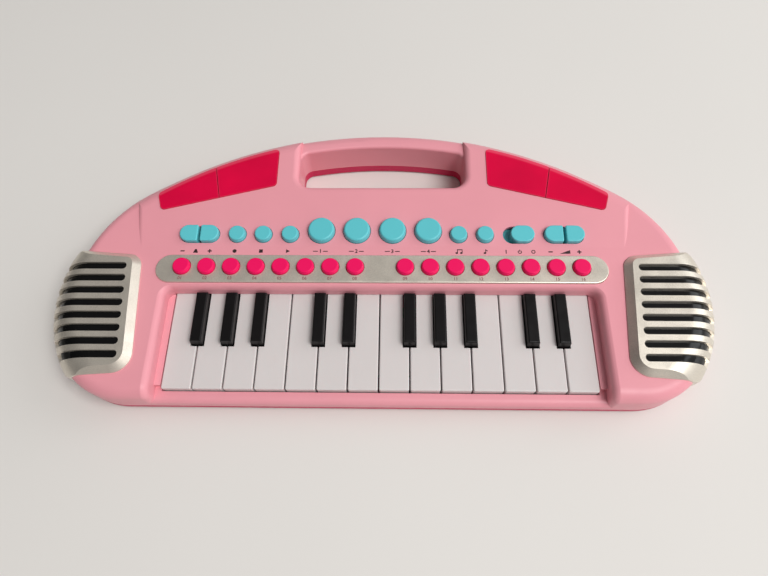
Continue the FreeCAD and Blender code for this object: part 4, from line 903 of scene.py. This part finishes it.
@dataclass
class ControlRow:
    """Panel buttons, drum pads, power knob and the row of printed marks in front of them.

    Attributes:
        level: Height of the face that carries the marks, in millimetres.
        row: Place of the marks across the keyboard.
        tall: Height of a mark.
        film: Thickness of the print.
        stroke: Width of a line.
        rule: Length of the short rules beside a drum's number.
        tempo: Places of the tempo marks along the keyboard.
        tempo_halves: Half width of the tempo mark at its foot and its top.
        record: Place of the record mark.
        stop: Place of the stop mark.
        play: Place of the play mark.
        play_half: Half its length.
        drums: Places of the drum numbers.
        demo_all: Places of the stems of the paired notes.
        demo_one: Place of the stem of the single note.
        power: Places of the marks for on, power and off.
        power_drop: How far the power ring sits below the row.
        power_ring: Where that ring starts and how far it goes round, in degrees.
        volume: Places of the volume marks.
        volume_half: Half length of the volume wedge.
    """

    level: float = 30.0
    row: float = 0.3
    tall: float = 2.7
    film: float = 0.06
    stroke: float = 0.85
    rule: float = 3.2
    tempo: tuple[float, float, float] = (-129.6, -120.9, -111.7)
    tempo_halves: Point = (1.6, 0.6)
    record: float = -95.3
    stop: float = -78.0
    play: float = -60.2
    play_half: float = 1.3
    drums: tuple[float, ...] = (-39.0, -15.6, 7.8, 31.2)
    demo_all: Point = (50.0, 53.0)
    demo_one: float = 68.2
    power: tuple[float, float, float] = (81.3, 90.1, 98.8)
    power_drop: float = 0.15
    power_ring: Point = (125.0, 290.0)
    volume: tuple[float, float, float] = (109.8, 119.0, 128.2)
    volume_half: float = 3.4

    def stamp(self, name: str) -> Stamp:
        """A new empty mark on the panel's front face."""
        return Stamp(name, self.level, self.film)

    def sign(self, name: str, x: float, plus: bool) -> None:
        """Print a minus or a plus.

        Args:
            name: Name of the piece.
            x: Place along the keyboard.
            plus: Whether the sign has its upright stroke.
        """
        mark = self.stamp(name)
        arm = self.tall / 2
        if plus:
            half = self.stroke / 2
            mark.shape((
                (x - arm, self.row - half), (x - half, self.row - half), (x - half, self.row - arm),
                (x + half, self.row - arm), (x + half, self.row - half), (x + arm, self.row - half),
                (x + arm, self.row + half), (x + half, self.row + half), (x + half, self.row + arm),
                (x - half, self.row + arm), (x - half, self.row + half), (x - arm, self.row + half),
            ))
        else:
            mark.bar(x, self.row, self.tall, self.stroke)
        mark.press(Finish.DARK_INK)

    def note(self, name: str, stems: Sequence[float]) -> None:
        """Print one music note, or two under a beam.

        Args:
            name: Name of the piece.
            stems: Place of each stem along the keyboard.
        """
        mark = self.stamp(name)
        top = self.row + self.tall * 0.62
        foot = self.row - self.tall * 0.38
        for x in stems:
            mark.disc(x - self.stroke * 0.7, foot, self.stroke, 0.8)
            mark.bar(x, (top + foot) / 2, self.stroke * 0.55, top - foot)
        side = self.stroke * 0.275
        beam = (stems[0] - side, stems[-1] + side if len(stems) > 1 else stems[0] + self.stroke * 1.5)
        drop = 0.0 if len(stems) > 1 else self.stroke
        low = top - self.stroke * 0.8
        mark.shape(((beam[0], low), (beam[1], low - drop), (beam[1], top - drop), (beam[0], top)))
        mark.press(Finish.DARK_INK)

    def build(self) -> None:
        """Print the row of marks."""
        row, arm = self.row, self.tall / 2
        minus, middle, plus = self.tempo
        self.sign("mark_tempo_minus", minus, False)
        self.sign("mark_tempo_plus", plus, True)
        foot, top = self.tempo_halves
        self.stamp("mark_tempo").shape((
            (middle - foot, row - arm), (middle + foot, row - arm),
            (middle + top, row + arm), (middle - top, row + arm),
        )).press(Finish.DARK_INK)
        self.stamp("mark_record").disc(self.record, row, arm).press(Finish.DARK_INK)
        square = self.tall * 0.9
        self.stamp("mark_stop").bar(self.stop, row, square, square).press(Finish.DARK_INK)
        left, tip = self.play - self.play_half, self.play + self.play_half
        arrow = ((left, row - arm), (tip, row), (left, row + arm))
        self.stamp("mark_play").shape(arrow).press(Finish.DARK_INK)
        for index, x in enumerate(self.drums):
            place = Vector((x, row, self.level))
            digit = str(index + 1)
            print_number(f"mark_drum_{digit}", digit, place, self.tall, self.film, Finish.DARK_INK)
            rules = self.stamp(f"mark_drum_{digit}_rules")
            for side in (-1, 1):
                rules.bar(x + side * (self.tall * 0.6 + self.rule / 2), row, self.rule, self.stroke * 0.7)
            rules.press(Finish.DARK_INK)
        self.note("mark_demo_all", self.demo_all)
        self.note("mark_demo_one", (self.demo_one,))
        switch_on, middle, switch_off = self.power
        line = self.stroke * 0.65
        radius = arm - line / 2
        self.stamp("mark_power_on").bar(switch_on, row, self.stroke * 0.8, self.tall).press(Finish.DARK_INK)
        power = self.stamp("mark_power").sweep(middle, row - self.power_drop, radius, line, *self.power_ring)
        power.bar(middle, row + arm * 0.6, line, arm).press(Finish.DARK_INK)
        ring = self.stamp("mark_power_off").sweep(switch_off, row, radius, line, 0.0, FULL_TURN)
        ring.press(Finish.DARK_INK)
        minus, middle, plus = self.volume
        self.sign("mark_volume_minus", minus, False)
        self.sign("mark_volume_plus", plus, True)
        left, right = middle - self.volume_half, middle + self.volume_half
        wedge = ((left, row - arm), (right, row - arm), (right, row + arm))
        self.stamp("mark_volume").shape(wedge).press(Finish.DARK_INK)

    def dress(self) -> None:
        """Give the buttons, pads and knob their finish."""
        names = ["record", "stop", "play", "demo_all", "demo_one"]
        names += ["tempo_minus", "tempo_plus", "volume_minus", "volume_plus"]
        pads = ["bass_drum_pad", "snare_drum_pad", "hi_hat_pad", "cymbal_pad"]
        dress(Finish.TURQUOISE_CAP, [f"{name}_button" for name in names] + pads + ["power_knob"])
        dress(Finish.BOARD, ["main_board"])


@dataclass
class ButtonStrip:
    """Silver strip with its two rubber button mats and a printed number under each button.

    Attributes:
        level: Height of the strip's face in millimetres.
        row: Place of the numbers across the keyboard.
        pitch: Distance between buttons.
        count: Buttons on each side.
        tall: Height of a digit.
        film: Thickness of the print.
    """

    level: float = 31.0
    row: float = -19.7
    pitch: float = 16.0
    count: int = 8
    tall: float = 2.1
    film: float = 0.06

    def build(self) -> None:
        """Print a number under each button, counted from the left."""
        places = [-self.pitch * (self.count - index) for index in range(self.count)]
        places += [self.pitch * (index + 1) for index in range(self.count)]
        for index, x in enumerate(places):
            number = f"{index + 1:02d}"
            place = Vector((x, self.row, self.level))
            print_number(f"mark_button_{number}", number, place, self.tall, self.film, Finish.PALE_INK)

    def dress(self) -> None:
        """Give the strip and the mats their finishes."""
        dress(Finish.SILVER, ["control_strip"])
        dress(Finish.MAGENTA_RUBBER, ["tone_button_mat", "rhythm_button_mat"])


@dataclass
class SpeakerPods:
    """Silver grilles, black liners and the speakers behind them.

    Attributes:
        sides: The two ends of the case.
    """

    sides: tuple[str, str] = ("right", "left")

    def dress(self) -> None:
        """Give the grilles, liners and speakers their finishes."""
        dress(Finish.SILVER, [f"speaker_grille_{side}" for side in self.sides])
        dress(Finish.BLACK_LINER, ["grille_liners"])
        dress(Finish.SPEAKER, ["speakers"])


@dataclass
class LightBars:
    """Red lenses with the light boards and diodes behind them.

    Attributes:
        sides: The two ends of the case.
    """

    sides: tuple[str, str] = ("right", "left")

    def dress(self) -> None:
        """Give the lenses, boards and diodes their finishes."""
        dress(Finish.RED_LENS, [f"light_lens_{side}" for side in self.sides])
        dress(Finish.BOARD, ["light_boards"])
        dress(Finish.DIODE, ["light_diodes"])


@dataclass
class PowerBay:
    """Cells and contacts of the battery bay.

    Attributes:
        cells: Name of the cells' piece.
        contacts: Name of the contacts' piece.
    """

    cells: str = "batteries"
    contacts: str = "battery_contacts"

    def dress(self) -> None:
        """Give the cells and contacts their finishes."""
        dress(Finish.CELL, [self.cells])
        dress(Finish.STEEL, [self.contacts])


@dataclass(frozen=True)
class Lamp:
    """One soft rectangular studio lamp.

    Attributes:
        name: Name of the lamp.
        place: Where it stands, in metres.
        size: Side of its square, in metres.
        power: Power in watts.
        tint: Linear colour of its light.
    """

    name: str
    place: tuple[float, float, float]
    size: float
    power: float
    tint: tuple[float, float, float]

    def hang(self, target: Vector) -> None:
        """Put the lamp in the scene.

        Args:
            target: The point that it faces.
        """
        light = bpy.data.lights.new(self.name, "AREA")
        light.shape = "SQUARE"
        light.size = self.size
        light.energy = self.power
        light.color = self.tint
        lamp = bpy.data.objects.new(self.name, light)
        bpy.context.scene.collection.objects.link(lamp)
        lamp.location = self.place
        lamp.rotation_euler = (target - Vector(self.place)).to_track_quat("-Z", "Y").to_euler()


@dataclass
class Studio:
    """Pale floor, soft light and the camera at the photograph's view.

    Attributes:
        eye: Place of the camera in metres.
        elevation: Camera's height angle in degrees.
        azimuth: Camera's turn about the upright in degrees.
        roll: Camera's turn about its own view in degrees.
        lens: Focal length in millimetres.
        sensor: Width of the camera's sensor in millimetres.
        near: Nearest distance that the camera sees, in metres.
        lamps: The window lamp and the ceiling lamp.
        aim: Point that the lamps face, in metres.
        sky_tint: Linear colour of the light from all round.
        wall_level: Strength of the light from the sides.
        ceiling_level: Strength of the light from above.
        lean: How far that light leans from left to right.
        floor_size: Side of the floor in metres.
        floor_shades: Screen colours that the floor varies between.
    """

    eye: tuple[float, float, float] = (0.0120, -0.17455, 0.3621)
    elevation: float = 65.82
    azimuth: float = 3.55
    roll: float = -2.99
    lens: float = 27.05
    sensor: float = 36.0
    near: float = 0.01
    lamps: tuple[Lamp, ...] = (
        Lamp("window_lamp", (3.2, 0.9, 1.7), 2.0, 24.0, (0.93, 0.975, 1.0)),
        Lamp("ceiling_lamp", (1.3, -0.7, 2.5), 1.5, 62.0, (1.0, 0.99, 0.975)),
    )
    aim: tuple[float, float, float] = (0.0, -0.02, 0.02)
    sky_tint: Colour = (1.0, 0.985, 0.97, 1.0)
    wall_level: float = 0.36
    ceiling_level: float = 0.31
    lean: float = 0.85
    floor_size: float = 6.0
    floor_shades: tuple[str, str] = ("dcd9d5", "e2dfdb")

    def lay_floor(self) -> None:
        """Lay a pale matt floor."""
        form = bmesh.new()
        bmesh.ops.create_grid(form, x_segments=1, y_segments=1, size=self.floor_size / 2)
        mesh = bpy.data.meshes.new("studio_floor")
        form.to_mesh(mesh)
        form.free()
        recipe = Recipe("studio_floor")
        pale = recipe.blend(recipe.noise(3.0, 2.0), *[linear(shade) for shade in self.floor_shades])
        recipe.feed(recipe.shader, "Base Color", pale)
        recipe.feed(recipe.shader, "Roughness", 0.8)
        mesh.materials.append(recipe.material)
        floor = bpy.data.objects.new("studio_floor", mesh)
        bpy.context.scene.collection.objects.link(floor)

    def light(self) -> None:
        """Hang the lamps and set the light from all round."""
        for lamp in self.lamps:
            lamp.hang(Vector(self.aim))
        world = bpy.data.worlds.new("studio")
        bpy.context.scene.world = world
        world.use_nodes = True
        tree = world.node_tree
        sky = tree.nodes["Background"]
        sky.inputs["Color"].default_value = self.sky_tint
        way = tree.nodes.new("ShaderNodeSeparateXYZ")
        tree.links.new(tree.nodes.new("ShaderNodeTexCoord").outputs["Generated"], way.inputs[0])
        level = tree.nodes.new("ShaderNodeMath")
        level.operation = "MULTIPLY"
        for socket, (axis, span, result) in enumerate((
            ("Z", (0.0, 0.8), (self.wall_level, self.ceiling_level)),
            ("X", (-1.0, 1.0), (1 - self.lean, 1 + self.lean)),
        )):
            ramp = tree.nodes.new("ShaderNodeMapRange")
            tree.links.new(way.outputs[axis], ramp.inputs[0])
            for place, value in enumerate((*span, *result), start=1):
                ramp.inputs[place].default_value = value
            tree.links.new(ramp.outputs[0], level.inputs[socket])
        tree.links.new(level.outputs[0], sky.inputs["Strength"])

    def stand_camera(self) -> None:
        """Set the camera to the photograph's view."""
        height, turn, roll = (math.radians(angle) for angle in (self.elevation, self.azimuth, self.roll))
        flat = math.cos(height)
        back = Vector((math.sin(turn) * flat, -math.cos(turn) * flat, math.sin(height)))
        level = Vector((math.cos(turn), math.sin(turn), 0.0))
        upward = back.cross(level)
        right = level * math.cos(roll) + upward * math.sin(roll)
        top = upward * math.cos(roll) - level * math.sin(roll)
        lens = bpy.data.cameras.new("photo_camera")
        lens.lens = self.lens
        lens.sensor_width = self.sensor
        lens.clip_start = self.near
        camera = bpy.data.objects.new("photo_camera", lens)
        bpy.context.scene.collection.objects.link(camera)
        camera.matrix_world = Matrix.Translation(self.eye) @ Matrix((right, top, back)).transposed().to_4x4()
        bpy.context.scene.camera = camera

    def build(self) -> None:
        """Set up floor, light and camera."""
        self.lay_floor()
        self.light()
        self.stand_camera()
        bpy.context.scene.view_settings.view_transform = "Standard"


def main() -> None:
    """Build and dress each sub-assembly, then set up the studio."""
    logging.basicConfig(level=logging.INFO, format="%(message)s")
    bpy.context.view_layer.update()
    for assembly in (CaseShell(), ControlRow(), ButtonStrip()):
        assembly.build()
        assembly.dress()
    for assembly in (KeyBed(), SpeakerPods(), LightBars(), PowerBay()):
        assembly.dress()
    Studio().build()


if __name__ == "__main__":
    main()
